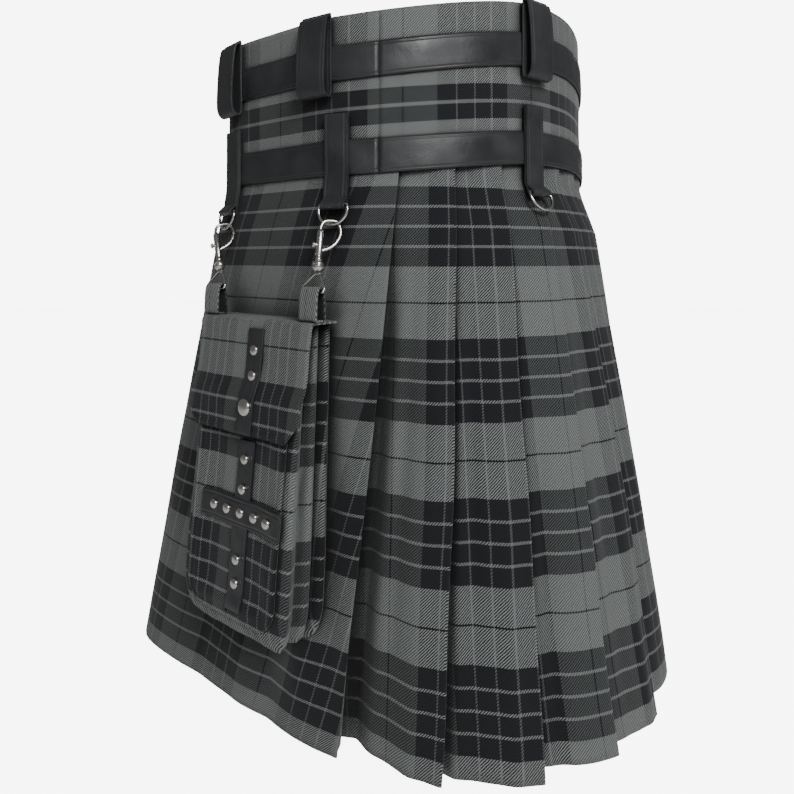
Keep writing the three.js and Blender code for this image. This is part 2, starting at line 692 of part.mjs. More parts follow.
// Cloth tab that holds the wire link
function pocketTab(y) {
  const foot = POCKET.top + 0.6 + FLAP.wall + SEAM;
  const [w, h, d] = [TAB.wall / 2, TAB.height, TAB.depth];
  const rows = [[-d / 2, w], [d / 2, w], [d / 2, h * 0.35], [d * 0.42, h * 0.75], [d * 0.2, h - w],
    [-d * 0.2, h - w], [-d * 0.42, h * 0.75], [-d / 2, h * 0.35]];
  const points = rows.map(([x, z]) => new THREE.Vector2(x, z));
  const geometry = new THREE.ExtrudeGeometry(bandShape(points, TAB.wall), { depth: TAB.width, bevelEnabled: false });
  const basis = new THREE.Matrix4().makeBasis(
    new THREE.Vector3(1, 0, 0), new THREE.Vector3(0, 0, 1), new THREE.Vector3(0, -1, 0));
  basis.setPosition(sectionAt(POCKET.top).side + TAB.out, y + TAB.width / 2, foot);
  return clean(geometry.applyMatrix4(basis));
}

const tabTop = (y) => new THREE.Vector3(
  sectionAt(POCKET.top).side + TAB.out, y, POCKET.top + 0.6 + FLAP.wall + SEAM + TAB.height - TAB.wall);

// Line of a hook's barrel: from beside the ring's wire to the top of the link that the tab holds
function hookLine({ y, strap }) {
  const beside = new THREE.Vector3(-0.75, 0.66, 0);
  const ring = ringBottom(STRAPS[strap].turn);
  const end = tabTop(y).add(new THREE.Vector3(0, 0, -LINK.wire - 0.5));
  const hang = end.clone().sub(ring);
  const axis = new THREE.Vector3(hang.x, 0, hang.z).normalize();
  const linkTop = end.clone().addScaledVector(axis, -LINK.height);
  const top = ring.addScaledVector(beside, -HOOK.offset);
  const down = linkTop.clone().sub(top).normalize();
  const side = beside.addScaledVector(down, -beside.dot(down)).normalize();
  return { top, end, axis, down, side, length: linkTop.distanceTo(top) };
}

// Wire link, a triangle between the hook's collar and the tab
function wireLink(hanger) {
  const { end, axis } = hookLine(hanger);
  const along = new THREE.Vector3(0, 1, 0);
  const rows = [[-LINK.halfTop, LINK.height], [0, LINK.height], [LINK.halfTop, LINK.height],
    [LINK.halfBase - 0.4, 4.6], [LINK.halfBase, 1.4], [LINK.halfBase - 1, 0], [0, 0],
    [-LINK.halfBase + 1, 0], [-LINK.halfBase, 1.4], [-LINK.halfBase + 0.4, 4.6]];
  const path = rows.map(([x, z]) => end.clone().addScaledVector(along, x).addScaledVector(axis, -z));
  const across = new THREE.Vector3().crossVectors(along, axis).normalize();
  return closedWire(path, across, LINK.wire, 6);
}

// Swivel snap hook: barrel, bent arm, thumb knob and collar in one casting
function snapHook(hanger) {
  const { top, down, side, length } = hookLine(hanger);
  const across = new THREE.Vector3().crossVectors(down, side).normalize();
  const at = (h, d) => top.clone().addScaledVector(side, h).addScaledVector(down, d);
  const collarEnd = length - LINK.wire - 0.6;
  const arm = new THREE.CatmullRomCurve3([
    at(0, 9), at(0, 1), at(3, -3.3), at(8.4, -3.8), at(13.8, -3), at(16.4, 6), at(13.8, 14),
    at(8.7, 19.5), at(1, 23)]);
  const circle = new THREE.Shape();
  circle.absarc(0, 0, HOOK.wire, 0, Math.PI * 2);
  const armMesh = solidFromIndexed(clean(new THREE.ExtrudeGeometry(circle, {
    extrudePath: arm, steps: 18, curveSegments: 3, bevelEnabled: false })));
  const frame = () => new THREE.Matrix4().makeBasis(side, down, across);
  const turned = (profile) => {
    const lathe = clean(new THREE.LatheGeometry(profile.map(([r, d]) => new THREE.Vector2(r, d)), 8));
    return solidFromIndexed(lathe.applyMatrix4(frame().setPosition(top)));
  };
  const barrel = turned([[0, 6], [HOOK.barrel * 0.8, 6], [HOOK.barrel, 9],
    [HOOK.barrel, collarEnd - 6], [0, collarEnd - 6]]);
  const collarTop = collarEnd - HOOK.collarLength;
  const collar = turned([[0, collarTop], [HOOK.collar, collarTop + 1], [HOOK.collar, collarEnd - 3],
    [HOOK.collar * 0.3, collarEnd], [0, collarEnd]]);
  const knobMesh = new THREE.CylinderGeometry(2.2, 2.2, 5, 6).rotateZ(Math.PI / 2).translate(-4, 0, 0);
  const knob = solidFromIndexed(clean(knobMesh.applyMatrix4(frame().setPosition(at(0, 18)))));
  return joined([barrel, armMesh, collar, knob]);
}

// Snap that closes the apron at the right end of a leather strip
function snap(top) {
  const turn = APRON_FREE_EDGE.seam + 6;
  const z = level(top, turn) - STRIP_HEIGHT / 2;
  const profile = [[0, 0], [SNAP.radius, 0], [SNAP.radius, 1], [SNAP.radius * 0.6, SNAP.height], [0, SNAP.height]];
  const cap = clean(new THREE.LatheGeometry(profile.map(([r, y]) => new THREE.Vector2(r, y)), 12));
  const out = standing(turn, z) + LAYER_ON_STRIP;
  return placeOnCloth(solidFromIndexed(cap.translate(sideways(turn), out, z)), turn);
}

// The same piece on the wearer's other side
function mirrored(geometry) {
  const copy = geometry.clone();
  const p = copy.attributes.position;
  for (let i = 0; i < p.count; i++) p.setX(i, -p.getX(i));
  const index = copy.index.array;
  for (let i = 0; i < index.length; i += 3) [index[i + 1], index[i + 2]] = [index[i + 2], index[i + 1]];
  return copy;
}

const kilt = new THREE.Group();
const finishes = {
  cloth: { color: COLOURS.cloth, roughness: 0.95, metalness: 0 },
  leather: { color: COLOURS.leather, roughness: 0.5, metalness: 0 },
  metal: { color: COLOURS.metal, roughness: 0.25, metalness: 1 },
};
function add(name, geometry, finish) {
  const mesh = new THREE.Mesh(geometry, new THREE.MeshStandardMaterial(finishes[finish]));
  mesh.name = name;
  kilt.add(mesh);
}
function addBoth(name, geometry, finish) {
  add(`${name}_left`, geometry, finish);
  add(`${name}_right`, mirrored(geometry), finish);
}

function addTrim(name, { name: place, turn, single }, make, finish) {
  if (single) add(`${name}_${place}`, make(turn), finish);
  else addBoth(`${name}_${place}`, make(turn), finish);
}

// Cloth
const [rightEnd, leftEnd] = [-114, 112];
add('yoke_front', yoke(rightEnd, leftEnd), 'cloth');
add('yoke_back', yoke(leftEnd + 0.12, 360 + rightEnd - 0.12), 'cloth');
add('over_apron', overApron(), 'cloth');
add('under_apron', underApron(), 'cloth');
add('pleated_back', pleatedBack(), 'cloth');

// Leather strips, in a front and a back length
for (const [name, top] of [['upper', UPPER_STRIP_TOP], ['lower', LOWER_STRIP_TOP]]) {
  add(`${name}_strip_front`, strip(top, rightEnd, leftEnd), 'leather');
  add(`${name}_strip_back`, strip(top, leftEnd + 0.12, 360 + rightEnd - 0.12), 'leather');
  add(`snap_${name}`, snap(top), 'metal');
}

// Loops, straps and rings
for (const loop of LOOPS) addTrim('belt_loop', loop, beltLoop, 'leather');
for (const strap of STRAPS) {
  addTrim('ring_strap', strap, ringStrap, 'leather');
  addTrim('d_ring', strap, dRing, 'metal');
}

// Hanging pockets
addBoth('pocket_bag', pocketBag(), 'cloth');
addBoth('pocket_patch', pocketPatch(), 'cloth');
addBoth('pocket_flap', pocketFlap(), 'cloth');
addBoth('flap_strip', flapStrip(), 'leather');
addBoth('pocket_cross', pocketCross(), 'leather');
for (const hanger of HANGERS) {
  addBoth(`pocket_tab_${hanger.name}`, pocketTab(hanger.y), 'cloth');
  addBoth(`wire_link_${hanger.name}`, wireLink(hanger), 'metal');
  addBoth(`snap_hook_${hanger.name}`, snapHook(hanger), 'metal');
}

export default kilt;
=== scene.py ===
"""Dressed model of a utility kilt: tartan yoke, aprons and knife-pleated back, black leather
strips, belt loops and ring straps, nickel rings and snap hooks, and two hanging pockets.
The wearer faces -Y, +X is the wearer's left and the origin is the middle of the waist."""
import math

import bpy
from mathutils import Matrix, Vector, noise


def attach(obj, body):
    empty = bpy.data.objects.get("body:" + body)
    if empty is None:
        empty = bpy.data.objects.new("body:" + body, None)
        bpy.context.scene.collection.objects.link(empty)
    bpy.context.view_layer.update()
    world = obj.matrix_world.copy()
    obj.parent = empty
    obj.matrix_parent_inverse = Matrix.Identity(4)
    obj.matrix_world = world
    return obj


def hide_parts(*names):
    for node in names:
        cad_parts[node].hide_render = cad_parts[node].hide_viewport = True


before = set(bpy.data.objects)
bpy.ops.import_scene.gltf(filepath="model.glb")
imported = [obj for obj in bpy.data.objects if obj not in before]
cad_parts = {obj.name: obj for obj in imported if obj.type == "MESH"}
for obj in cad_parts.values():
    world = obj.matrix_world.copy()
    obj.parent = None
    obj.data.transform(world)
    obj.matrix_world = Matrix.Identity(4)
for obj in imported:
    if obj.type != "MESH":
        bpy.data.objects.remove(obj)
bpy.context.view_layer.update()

# Studio
# A level camera behind the wearer's left hip, a pale floor and a white backdrop. The light is
# broad and soft, and most of it comes from the right of the camera, as for a catalogue picture.
bpy.ops.object.select_all(action="DESELECT")
bpy.ops.object.camera_add(
    location=(0.5935, 0.4485, -0.178),
    rotation=(math.radians(89), 0, math.radians(130)),
)
camera = bpy.context.object
camera.data.sensor_width = 36
camera.data.lens = 31.74
camera.data.shift_y = -0.160
camera.data.clip_start = 0.01
bpy.context.scene.camera = camera


def linear(hex_colour):
    channels = (int(hex_colour[i : i + 2], 16) / 255 for i in (1, 3, 5))
    return [c / 12.92 if c <= 0.04045 else ((c + 0.055) / 1.055) ** 2.4 for c in channels] + [1.0]


def add_node(material, kind, settings=None, **inputs):
    """Adds a node; settings are its own values, inputs are values or sockets to link."""
    node = material.node_tree.nodes.new(kind)
    for key, value in (settings or {}).items():
        setattr(node, key, value)
    for key, value in inputs.items():
        place = int(key[1:]) if key[0] == "i" and key[1:].isdigit() else key.replace("_", " ")
        socket = node.inputs[place]
        if isinstance(value, bpy.types.NodeSocket):
            material.node_tree.links.new(value, socket)
        else:
            socket.default_value = value
    return node


def new_material(name):
    material = bpy.data.materials.new(name)
    material.use_nodes = True
    return material, material.node_tree.nodes["Principled BSDF"]


FLOOR_Z = -0.70
PAPER_GLOW = 7.0
BACKDROP_GLOW = 7.5
ROOM_GLOW = 0.16
LIT_POINT = (0, 0, -0.28)
paper, paper_shader = new_material("white_seamless_paper")
paper_grain = add_node(paper, "ShaderNodeTexNoise", Scale=900.0, Detail=2.0)
paper_bump = add_node(paper, "ShaderNodeBump", Strength=0.02, Height=paper_grain.outputs["Fac"])
paper_shader.inputs["Base Color"].default_value = linear("#FBFBFB")
paper_shader.inputs["Roughness"].default_value = 0.9
paper_shader.inputs["Emission Color"].default_value = linear("#FFFFFF")
# The paper is overexposed, as in a catalogue picture, and this lights nothing else
paper_seen = add_node(paper, "ShaderNodeLightPath")
paper_glow = add_node(paper, "ShaderNodeMath", {"operation": "MULTIPLY"},
                      i0=paper_seen.outputs["Is Camera Ray"], i1=PAPER_GLOW)
paper.node_tree.links.new(paper_glow.outputs[0], paper_shader.inputs["Emission Strength"])
paper.node_tree.links.new(paper_bump.outputs["Normal"], paper_shader.inputs["Normal"])
bpy.ops.mesh.primitive_plane_add(size=14, location=(0, 0, FLOOR_Z))
floor = bpy.context.object
floor.name = "studio_floor"
floor.data.materials.append(paper)

LAMPS = [
    ("key", (1.05, 1.75, 1.05), 0.9, 47),
    ("fill", (2.2, 0.9, 0.3), 1.4, 2),
    ("rear", (-1.9, -1.2, 1.0), 2.0, 26),
]
for name, place, size, power in LAMPS:
    bpy.ops.object.light_add(type="AREA", location=place)
    lamp = bpy.context.object
    lamp.name = "softbox_" + name
    lamp.data.size = size
    lamp.data.energy = power
    lamp.rotation_euler = (Vector(LIT_POINT) - Vector(place)).to_track_quat("-Z", "Y").to_euler()
world = bpy.data.worlds.new("white_room")
bpy.context.scene.world = world
world.use_nodes = True
room = world.node_tree.nodes["Background"]
room.inputs[0].default_value = linear("#FFFFFF")
# The backdrop is lit apart from the room, so that it is white and the room stays soft
rays = world.node_tree.nodes.new("ShaderNodeLightPath")
room_light = world.node_tree.nodes.new("ShaderNodeMapRange")
room_light.inputs["To Min"].default_value = ROOM_GLOW
room_light.inputs["To Max"].default_value = BACKDROP_GLOW
world.node_tree.links.new(rays.outputs["Is Camera Ray"], room_light.inputs["Value"])
world.node_tree.links.new(room_light.outputs[0], room.inputs[1])

# Tartan cloth
# Woollen 2/2 twill woven in a grey and black check with fine lines. Every length of the kilt and
# of its pockets is cut from it. Its UV map runs in millimetres along the weft and the warp.
SETT = 124.5
DARK_BAND = 66.0
LINE_PLACES = (16.5, 33.0, 49.5)
SKIRT_SETT = (DARK_BAND, LINE_PLACES, SETT)
WARP_LINE_HALF, WEFT_LINE_HALF, FINE_HALF = 0.9, 1.3, 0.9
HALF_RIB = 1.2
WOVEN = {
    "warp_light": "#4A4D4C",
    "warp_dark": "#141519",
    "warp_line": "#595C5B",
    "weft_light": "#7D817F",
    "weft_dark": "#1C1D21",
    "weft_line": "#7A7E7C",
    "fine": "#0E0F12",
}


def woven_chart(material, along, dark, light, line, half_line, dark_width, lines, repeat):
    """Colours of the threads across one repeat of the check."""
    share = add_node(material, "ShaderNodeMath", {"operation": "DIVIDE"}, i0=along, i1=repeat)
    turned = add_node(material, "ShaderNodeMath", {"operation": "FRACT"}, i0=share.outputs[0])
    chart = add_node(material, "ShaderNodeValToRGB", Fac=turned.outputs[0])
    ramp = chart.color_ramp
    ramp.interpolation = "CONSTANT"
    middle = (dark_width + repeat) / 2
    stops = [(0.0, dark)]
    for place in lines:
        stops += [(place - half_line, line), (place + half_line, dark)]
    stops += [(dark_width, light), (middle - FINE_HALF, WOVEN["fine"]), (middle + FINE_HALF, light)]
    ramp.elements[0].color = linear(stops[0][1])
    ramp.elements[1].position = 1.0
    ramp.elements[1].color = linear(light)
    for place, colour in stops[1:]:
        ramp.elements.new(place / repeat).color = linear(colour)
    return chart.outputs["Color"]


def tartan(name, warp_shift=0.0, weft_shift=0.0, weft_sett=SKIRT_SETT, warp_sett=SKIRT_SETT):
    """Soft matt twill: two sets of threads that take turns on the face in slanting ribs."""
    material, shader = new_material(name)
    place = add_node(material, "ShaderNodeUVMap", {"uv_map": "cloth"})
    axes = add_node(material, "ShaderNodeSeparateXYZ", Vector=place.outputs[0])
    across, along = (
        add_node(material, "ShaderNodeMath", {"operation": "ADD"}, i0=axes.outputs[k], i1=shift).outputs[0]
        for k, shift in enumerate((warp_shift, weft_shift)))
    warp = woven_chart(material, across, WOVEN["warp_dark"], WOVEN["warp_light"], WOVEN["warp_line"],
                       WARP_LINE_HALF, *warp_sett)
    weft = woven_chart(material, along, WOVEN["weft_dark"], WOVEN["weft_light"], WOVEN["weft_line"],
                       WEFT_LINE_HALF, *weft_sett)
    # Ribs 2.4 mm apart along a thread, as wide as the real ones look in the picture
    slant = add_node(material, "ShaderNodeMath", {"operation": "ADD"}, i0=across, i1=along)
    wander = add_node(material, "ShaderNodeTexNoise", Vector=place.outputs[0], Scale=0.35, Detail=1.0)
    loose = add_node(material, "ShaderNodeMath", {"operation": "MULTIPLY_ADD"},
                     i0=wander.outputs["Fac"], i1=1.1, i2=slant.outputs[0])
    rib = add_node(material, "ShaderNodeMath", {"operation": "PINGPONG"}, i0=loose.outputs[0], i1=HALF_RIB)
    face = add_node(material, "ShaderNodeMapRange", {"interpolation_type": "SMOOTHSTEP"},
                    Value=rib.outputs[0], From_Min=0.42, From_Max=0.78)
    cloth = add_node(material, "ShaderNodeMix", {"data_type": "RGBA"},
                     i0=face.outputs[0], i6=warp, i7=weft)
    # Slubs and fluff make the shade uneven over a few millimetres
    fluff = add_node(material, "ShaderNodeTexNoise", Vector=place.outputs[0], Scale=0.9, Detail=3.0)
    shade = add_node(material, "ShaderNodeMapRange", Value=fluff.outputs["Fac"],
                     From_Min=0.3, From_Max=0.7, To_Min=0.82, To_Max=1.16)
    # Painted shade: ambient occlusion darkens the colour in folds, between pleats and under edges, so these
    # go darker than the lamps alone would make them
    deep = add_node(material, "ShaderNodeAmbientOcclusion", {"samples": 6}, Distance=0.03)
    fold = add_node(material, "ShaderNodeMapRange", Value=deep.outputs["AO"],
                    From_Min=0.4, From_Max=0.86, To_Min=0.04, To_Max=1.0)
    slub_tone_and_painted_fold_shade = add_node(material, "ShaderNodeMath", {"operation": "MULTIPLY"},
                    i0=shade.outputs[0], i1=fold.outputs[0])
    # The random slub tone and the painted fold shade both multiply the woven colour
    uneven = add_node(material, "ShaderNodeMix", {"data_type": "RGBA", "blend_type": "MULTIPLY"},
                      i0=1.0, i6=cloth.outputs[2], i7=slub_tone_and_painted_fold_shade.outputs[0])
    material.node_tree.links.new(uneven.outputs[2], shader.inputs["Base Color"])
    relief = add_node(material, "ShaderNodeMath", {"operation": "MULTIPLY_ADD"},
                      i0=rib.outputs[0], i1=0.6, i2=fluff.outputs["Fac"])
    bump = add_node(material, "ShaderNodeBump", Strength=0.35, Distance=0.0006, Height=relief.outputs[0])
    material.node_tree.links.new(bump.outputs["Normal"], shader.inputs["Normal"])
    shader.inputs["Roughness"].default_value = 0.92
    shader.inputs["Specular IOR Level"].default_value = 0.25
    shader.inputs["Sheen Weight"].default_value = 0.12
    shader.inputs["Sheen Roughness"].default_value = 0.5
    return material


# Plan of the kilt: half depth and half width of the cloth at each height, with how square the
# front and back halves are. Turns are degrees from the centre front towards the left.
SECTIONS = [
    (60, 176, 150, 141, 6.5, 2.0),
    (-112, 177.5, 151, 144.5, 6.5, 2.0),
    (-154, 183, 158, 163, 7.5, 2.0),
    (-286, 191, 186, 188, 9, 2.05),
    (-400, 198, 211, 208, 10, 2.1),
    (-576, 209, 249, 235, 12, 2.2),
]
HEM = -576
CLOTH = 1.3
TOP_EDGE = (25, 48)
UPPER_STRIP_TOP = (-0.5, 21)
LOWER_STRIP_TOP = (-80, -66)
STRIP_HEIGHT = 29
SEAM_DROP = 15


def mix(a, b, t):
    return a + (b - a) * t


def eased(t):
    t = min(1, max(0, t))
    return t * t * (3 - 2 * t)


def plan_point(turn, z):
    i = 1
    while i < len(SECTIONS) - 1 and SECTIONS[i][0] > z:
        i += 1
    a, b = SECTIONS[i - 1], SECTIONS[i]
    side, front, back, front_square, back_square = (
        mix(p, q, (z - a[0]) / (b[0] - a[0])) for p, q in zip(a[1:], b[1:]))
    dx, dy = math.sin(math.radians(turn)), -math.cos(math.radians(turn))
    depth, square = (front, front_square) if dy < 0 else (back, back_square)
    r = (abs(dx / side) ** square + abs(dy / depth) ** square) ** (-1 / square)
    return Vector((r * dx, r * dy))


def outward(turn, z):
    step = (plan_point(turn + 0.4, z) - plan_point(turn - 0.4, z)).normalized()
    return Vector((step.y, -step.x))


def on_cloth(turn, z, out=0.0):
    p = plan_point(turn, z) + outward(turn, z) * out
    return Vector((p.x, p.y, z))


def level(heights, turn):
    round_turn = abs((turn + 540) % 360 - 180)
    return mix(heights[0], heights[1], eased((round_turn - 100) / 75))


def arc_table(z, step=0.5):
    """Distance round the cloth from the centre front at each half turn."""
    table, last = [0.0], plan_point(-180, z)
    for i in range(1, int(450 / step) + 1):
        p = plan_point(-180 + i * step, z)
        table.append(table[-1] + (p - last).length)
        last = p
    zero = table[int(180 / step)]
    return [value - zero for value in table]


ARCS = {z: arc_table(z) for z in (0, -112, -286, HEM)}


def arc(turn, z):
    """Distance round from the centre front, between the heights of the tables."""
    heights = sorted(ARCS, reverse=True)
    i = 1
    while i < len(heights) - 1 and heights[i] > z:
        i += 1
    place = (turn + 180) / 0.5
    j = min(int(place), len(ARCS[0]) - 2)
    a, b = (mix(ARCS[h][j], ARCS[h][j + 1], place - j) for h in heights[i - 1 : i + 1])
    return mix(a, b, min(1, max(0, (z - heights[i - 1]) / (heights[i] - heights[i - 1]))))


def creased(turn, z, creases):
    """Height of soft listed troughs and ridges: turn, z, half turn, half height, depth, lean."""
    out = 0.0
    for at_turn, at_z, half_turn, half_height, depth, lean in creases:
        across = (turn - at_turn - lean * (z - at_z) / 100) / half_turn
        down = (z - at_z) / half_height
        if abs(across) < 2.5 and abs(down) < 2.5:
            out += depth * math.exp(-across * across - down * down)
    return out


def cloth_grid(name, rows, columns, place, material, thickness=CLOTH, offset=-1, closed=False):
    """A grid laid on a form. place(i, j) gives the point and its place in the weave, in mm."""
    bpy.ops.object.select_all(action="DESELECT")
    bpy.ops.mesh.primitive_grid_add(x_subdivisions=columns - 1, y_subdivisions=rows - 1, size=2)
    piece = bpy.context.object
    piece.name = name
    mesh = piece.data
    uv = mesh.uv_layers[0] if mesh.uv_layers else mesh.uv_layers.new()
    uv.name = "cloth"
    weave = []
    for k, vertex in enumerate(mesh.vertices):
        point, woven = place(k // columns, k % columns)
        vertex.co = Vector(point) / 1000
        weave.append(woven)
    for loop in mesh.loops:
        uv.data[loop.index].uv = weave[loop.vertex_index]
    mesh.flip_normals()
    mesh.materials.append(material)
    if closed:
        bpy.ops.object.mode_set(mode="EDIT")
        bpy.ops.mesh.select_all(action="SELECT")
        bpy.ops.mesh.remove_doubles(threshold=1e-6)
        bpy.ops.object.mode_set(mode="OBJECT")
    bpy.ops.object.shade_smooth()
    if thickness:
        thick = piece.modifiers.new("wall", "SOLIDIFY")
        thick.thickness = thickness / 1000
        thick.offset = offset
        bpy.ops.object.modifier_apply(modifier="wall")
    return piece


def flat_area(rows, columns, place):
    """Area of the laid cloth in square metres."""
    total = 0.0
    grid = [[Vector(place(i, j)[0]) / 1000 for j in range(columns)] for i in range(rows)]
    for i in range(rows - 1):
        for j in range(columns - 1):
            a, b, c, d = grid[i][j], grid[i][j + 1], grid[i + 1][j + 1], grid[i + 1][j]
            total += ((b - a).cross(d - a).length + (b - c).cross(d - c).length) / 2
    return total


def declare_sheet(rows, columns, place):
    area = flat_area(rows, columns, place)
    middle = [Vector(place(i, columns // 2)[0]) / 1000 for i in range(rows)]


# The turns where the front lengths of yoke and strips end, and where the back ones do
LENGTHS = (("front", -114, 112), ("back", 111.98, 246.02))

# Yoke
# Two lengths of tartan that meet at the hips, sewn to the aprons and pleats under the lower
# leather strip. Each is a thin sheet laid round the waist, plain at its top edge.
YOKE_ROWS = 26
YOKE_COLUMNS = {"front": 150, "back": 90}
BAND_ABOVE_STRIP = 41.0
yoke_tartan = tartan("wool_tartan_twill_yoke", warp_shift=-44.0, weft_shift=BAND_ABOVE_STRIP,
                     weft_sett=(29.0, (14.5,), 200.0))
YOKE_EASE = [(-60, -48, 16, 14, -0.9, 4), (10, -50, 22, 10, 0.8, 0), (128, -40, 9, 12, -0.8, 3),
             (150, -52, 8, 10, 0.7, -2), (205, -45, 12, 14, -0.9, 2), (68, -45, 9, 14, 0.6, 0)]
for part, start, end in LENGTHS:
    name, columns = "yoke_" + part, YOKE_COLUMNS[part]

    def yoke_place(i, j, start=start, end=end, columns=columns):
        turn = mix(start, end, j / (columns - 1))
        lower = level(LOWER_STRIP_TOP, turn)
        z = mix(level(TOP_EDGE, turn), lower - SEAM_DROP, i / (YOKE_ROWS - 1))
        out = creased(turn, z, YOKE_EASE)
        return on_cloth(turn, z, min(0.2, out)), (arc(turn, -30), lower - z)

    piece = cloth_grid(name + "_cloth", YOKE_ROWS, columns, yoke_place, yoke_tartan)
    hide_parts(name)
    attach(piece, "kilt")
    declare_sheet(YOKE_ROWS, columns, yoke_place)

# Pleated back
# One length of cloth folded in eight knife pleats, sewn flat under the yoke and left free below.
# Each face runs from under the pleat before it out to its own fold edge, and fans to the hem.
PLEATS = [
    (118, 106, 4.2, 20), (134, 129, 4.2, 11), (150, 148, 4.2, 20), (166, 166, 4.2, 14),
    (181.5, 184, 4.2, 19), (197, 202, 4.2, 13), (212, 220, 4.2, 18), (227, 237, 4.2, 12),
    (242, 254, 4.2, 12),
]
SEAM_Z = LOWER_STRIP_TOP[0] - SEAM_DROP
UNDERLAP = 0.28
FACE_COLUMNS = 21
PLEAT_ROWS = 74
SWELL = [2.6, 1.4, 3.0, 1.8, 2.4, 1.6, 2.6, 1.5]
# Long soft hollows down the faces, and ridges where the depth is negative, over the underlap:
# pleat, place across, share down, half width, half length, depth
HOLLOWS = [
    (0, 0.40, 0.62, 0.12, 0.40, 4.2), (0, 0.78, 0.40, 0.11, 0.30, -1.6), (0, 0.70, 0.92, 0.10, 0.22, -2.6),
    (1, 0.30, 0.55, 0.12, 0.42, 3.6), (1, 0.72, 0.80, 0.12, 0.30, -2.8), (1, 0.50, 0.30, 0.09, 0.16, 1.2),
    (2, 0.34, 0.74, 0.12, 0.34, 3.8), (2, 0.72, 0.52, 0.10, 0.30, -1.8), (3, 0.44, 0.64, 0.12, 0.34, 3.2),
    (3, 0.80, 0.90, 0.10, 0.20, -2.4), (4, 0.34, 0.66, 0.12, 0.38, 3.4), (4, 0.74, 0.60, 0.11, 0.26, -2.0),
    (5, 0.46, 0.72, 0.12, 0.34, 3.4), (5, 0.24, 0.45, 0.10, 0.24, 1.8), (6, 0.38, 0.64, 0.12, 0.38, 3.2),
    (6, 0.76, 0.84, 0.11, 0.24, -2.6), (7, 0.44, 0.68, 0.12, 0.34, 3.0),
]
# Each face starts in a groove beside the fold edge before it, deepest beside the apron
GROOVES = [(8.0, 0.20), (3.4, 0.06), (2.6, 0.07), (3.2, 0.06), (2.4, 0.07), (3.0, 0.06), (2.6, 0.07),
           (2.8, 0.06)]


def pleat_turn(edge, share):
    return mix(edge[0], edge[1], share)


def pleat_depth(edge, share):
    return mix(edge[2], edge[3], min(1, max(0, (share - 0.1) / 0.9)))


def pleat_columns(share):
    """Points across the folded cloth: turn, shift along the face in mm, depth inside the edge."""
    line = [(pleat_turn(PLEATS[0], share) - 5.5, 0, pleat_depth(PLEATS[0], share) + 0.6, 0, 0.0)]
    for k in range(len(PLEATS) - 1):
        a, b = pleat_turn(PLEATS[k], share), pleat_turn(PLEATS[k + 1], share)
        deep, next_deep = pleat_depth(PLEATS[k], share), pleat_depth(PLEATS[k + 1], share)
        for i in range(FACE_COLUMNS):
            f = i / (FACE_COLUMNS - 1)
            swell = SWELL[k] * share * math.sin(math.pi * f ** 1.3) * math.sin(1.4 * math.pi * share + k)
            for face, across, down, half_width, half_length, hollow in HOLLOWS:
                if face == k:
                    spread = ((f - across) / half_width) ** 2 + ((share - down) / half_length) ** 2
                    swell -= hollow * math.exp(-spread)
            swell -= GROOVES[k][0] * math.exp(-(f / GROOVES[k][1]) ** 2) * eased((share - 0.1) / 0.25)
            line.append((mix(a, b, f), -1.2 * f ** 8, deep * (1 - f) ** 1.15 - swell, k, f))
        for angle in (35, 90, 145):
            reach = math.sin(math.radians(angle))
            line.append((b, reach * 0.9, 1.0 - math.cos(math.radians(angle)), k, 1.0 + angle / 1000))
        inner = max(deep * UNDERLAP ** 1.15 + 2, next_deep - 2)
        back = mix(b, a, UNDERLAP)
        for f, depth in ((0.3, mix(2.0, inner, 0.35)), (1.0, inner)):
            line.append((mix(b, back, f), 0, depth, k, 1.2 + f))
        line.append((back, -1.0, inner + 1.0, k, 2.4))
    end = PLEATS[-1]
    line.append((pleat_turn(end, share), 0, pleat_depth(end, share), 8, 0.0))
    line.append((pleat_turn(end, share) + 9, 0, mix(4.6, 8, share), 8, 1.0))
    return line


PLEAT_LINES = [pleat_columns(i / (PLEAT_ROWS - 1)) for i in range(PLEAT_ROWS)]
PLEAT_GRID = len(PLEAT_LINES[0])
EDGE_ARC = [arc(edge[0], -112) for edge in PLEATS]
BACK_START = EDGE_ARC[2] - DARK_BAND
# From the fifth face on, the cloth is taken up so that a dark column lies along each fold edge
FOLD_IN_CHECK = 62
TAKEN_UP = [0] * 4 + [(edge - BACK_START - FOLD_IN_CHECK) % SETT for edge in EDGE_ARC[5:]]


def height_at(share, turn):
    seam = level(LOWER_STRIP_TOP, turn) - SEAM_DROP
    plain = mix(SEAM_Z, HEM, share)
    return mix(seam - 0.3, plain, min(1, share / 0.12))


def pleat_place(i, j):
    share = i / (PLEAT_ROWS - 1)
    turn, along, depth, k, f = PLEAT_LINES[i][j]
    z = height_at(share, turn)
    waver = 1.6 * math.sin(z / 74 + 2.1 * k) * share + 1.1 * math.sin(z / 31 + k) * share
    pull = waver * (f if f <= 1 else 1) if k < 8 else 0
    shifted = turn + (along + pull) / plan_point(turn, z).length * 57.3
    soft = 0.9 * noise.noise(Vector((turn / 9, z / 60, k))) * min(1, share * 3)
    # The weave runs parallel to the fold edge, so it is counted back from there
    if k < 8 and f <= 1:
        edge = pleat_turn(PLEATS[k + 1], share)
        u = EDGE_ARC[k + 1] - (arc(edge, z) - arc(turn, z)) * (1 + 0.02 * share) - TAKEN_UP[k]
    else:
        u = EDGE_ARC[min(k + 1, 8)] + (f - 1) * 14
    return on_cloth(shifted, z, -depth - 0.05 + soft), (u - BACK_START, -z)


skirt_tartan = tartan("wool_tartan_twill_skirt", warp_shift=0.0, weft_shift=-119.0)
piece = cloth_grid("pleated_back_cloth", PLEAT_ROWS, PLEAT_GRID, pleat_place, skirt_tartan)
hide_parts("pleated_back")
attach(piece, "kilt")
declare_sheet(PLEAT_ROWS, PLEAT_GRID, pleat_place)

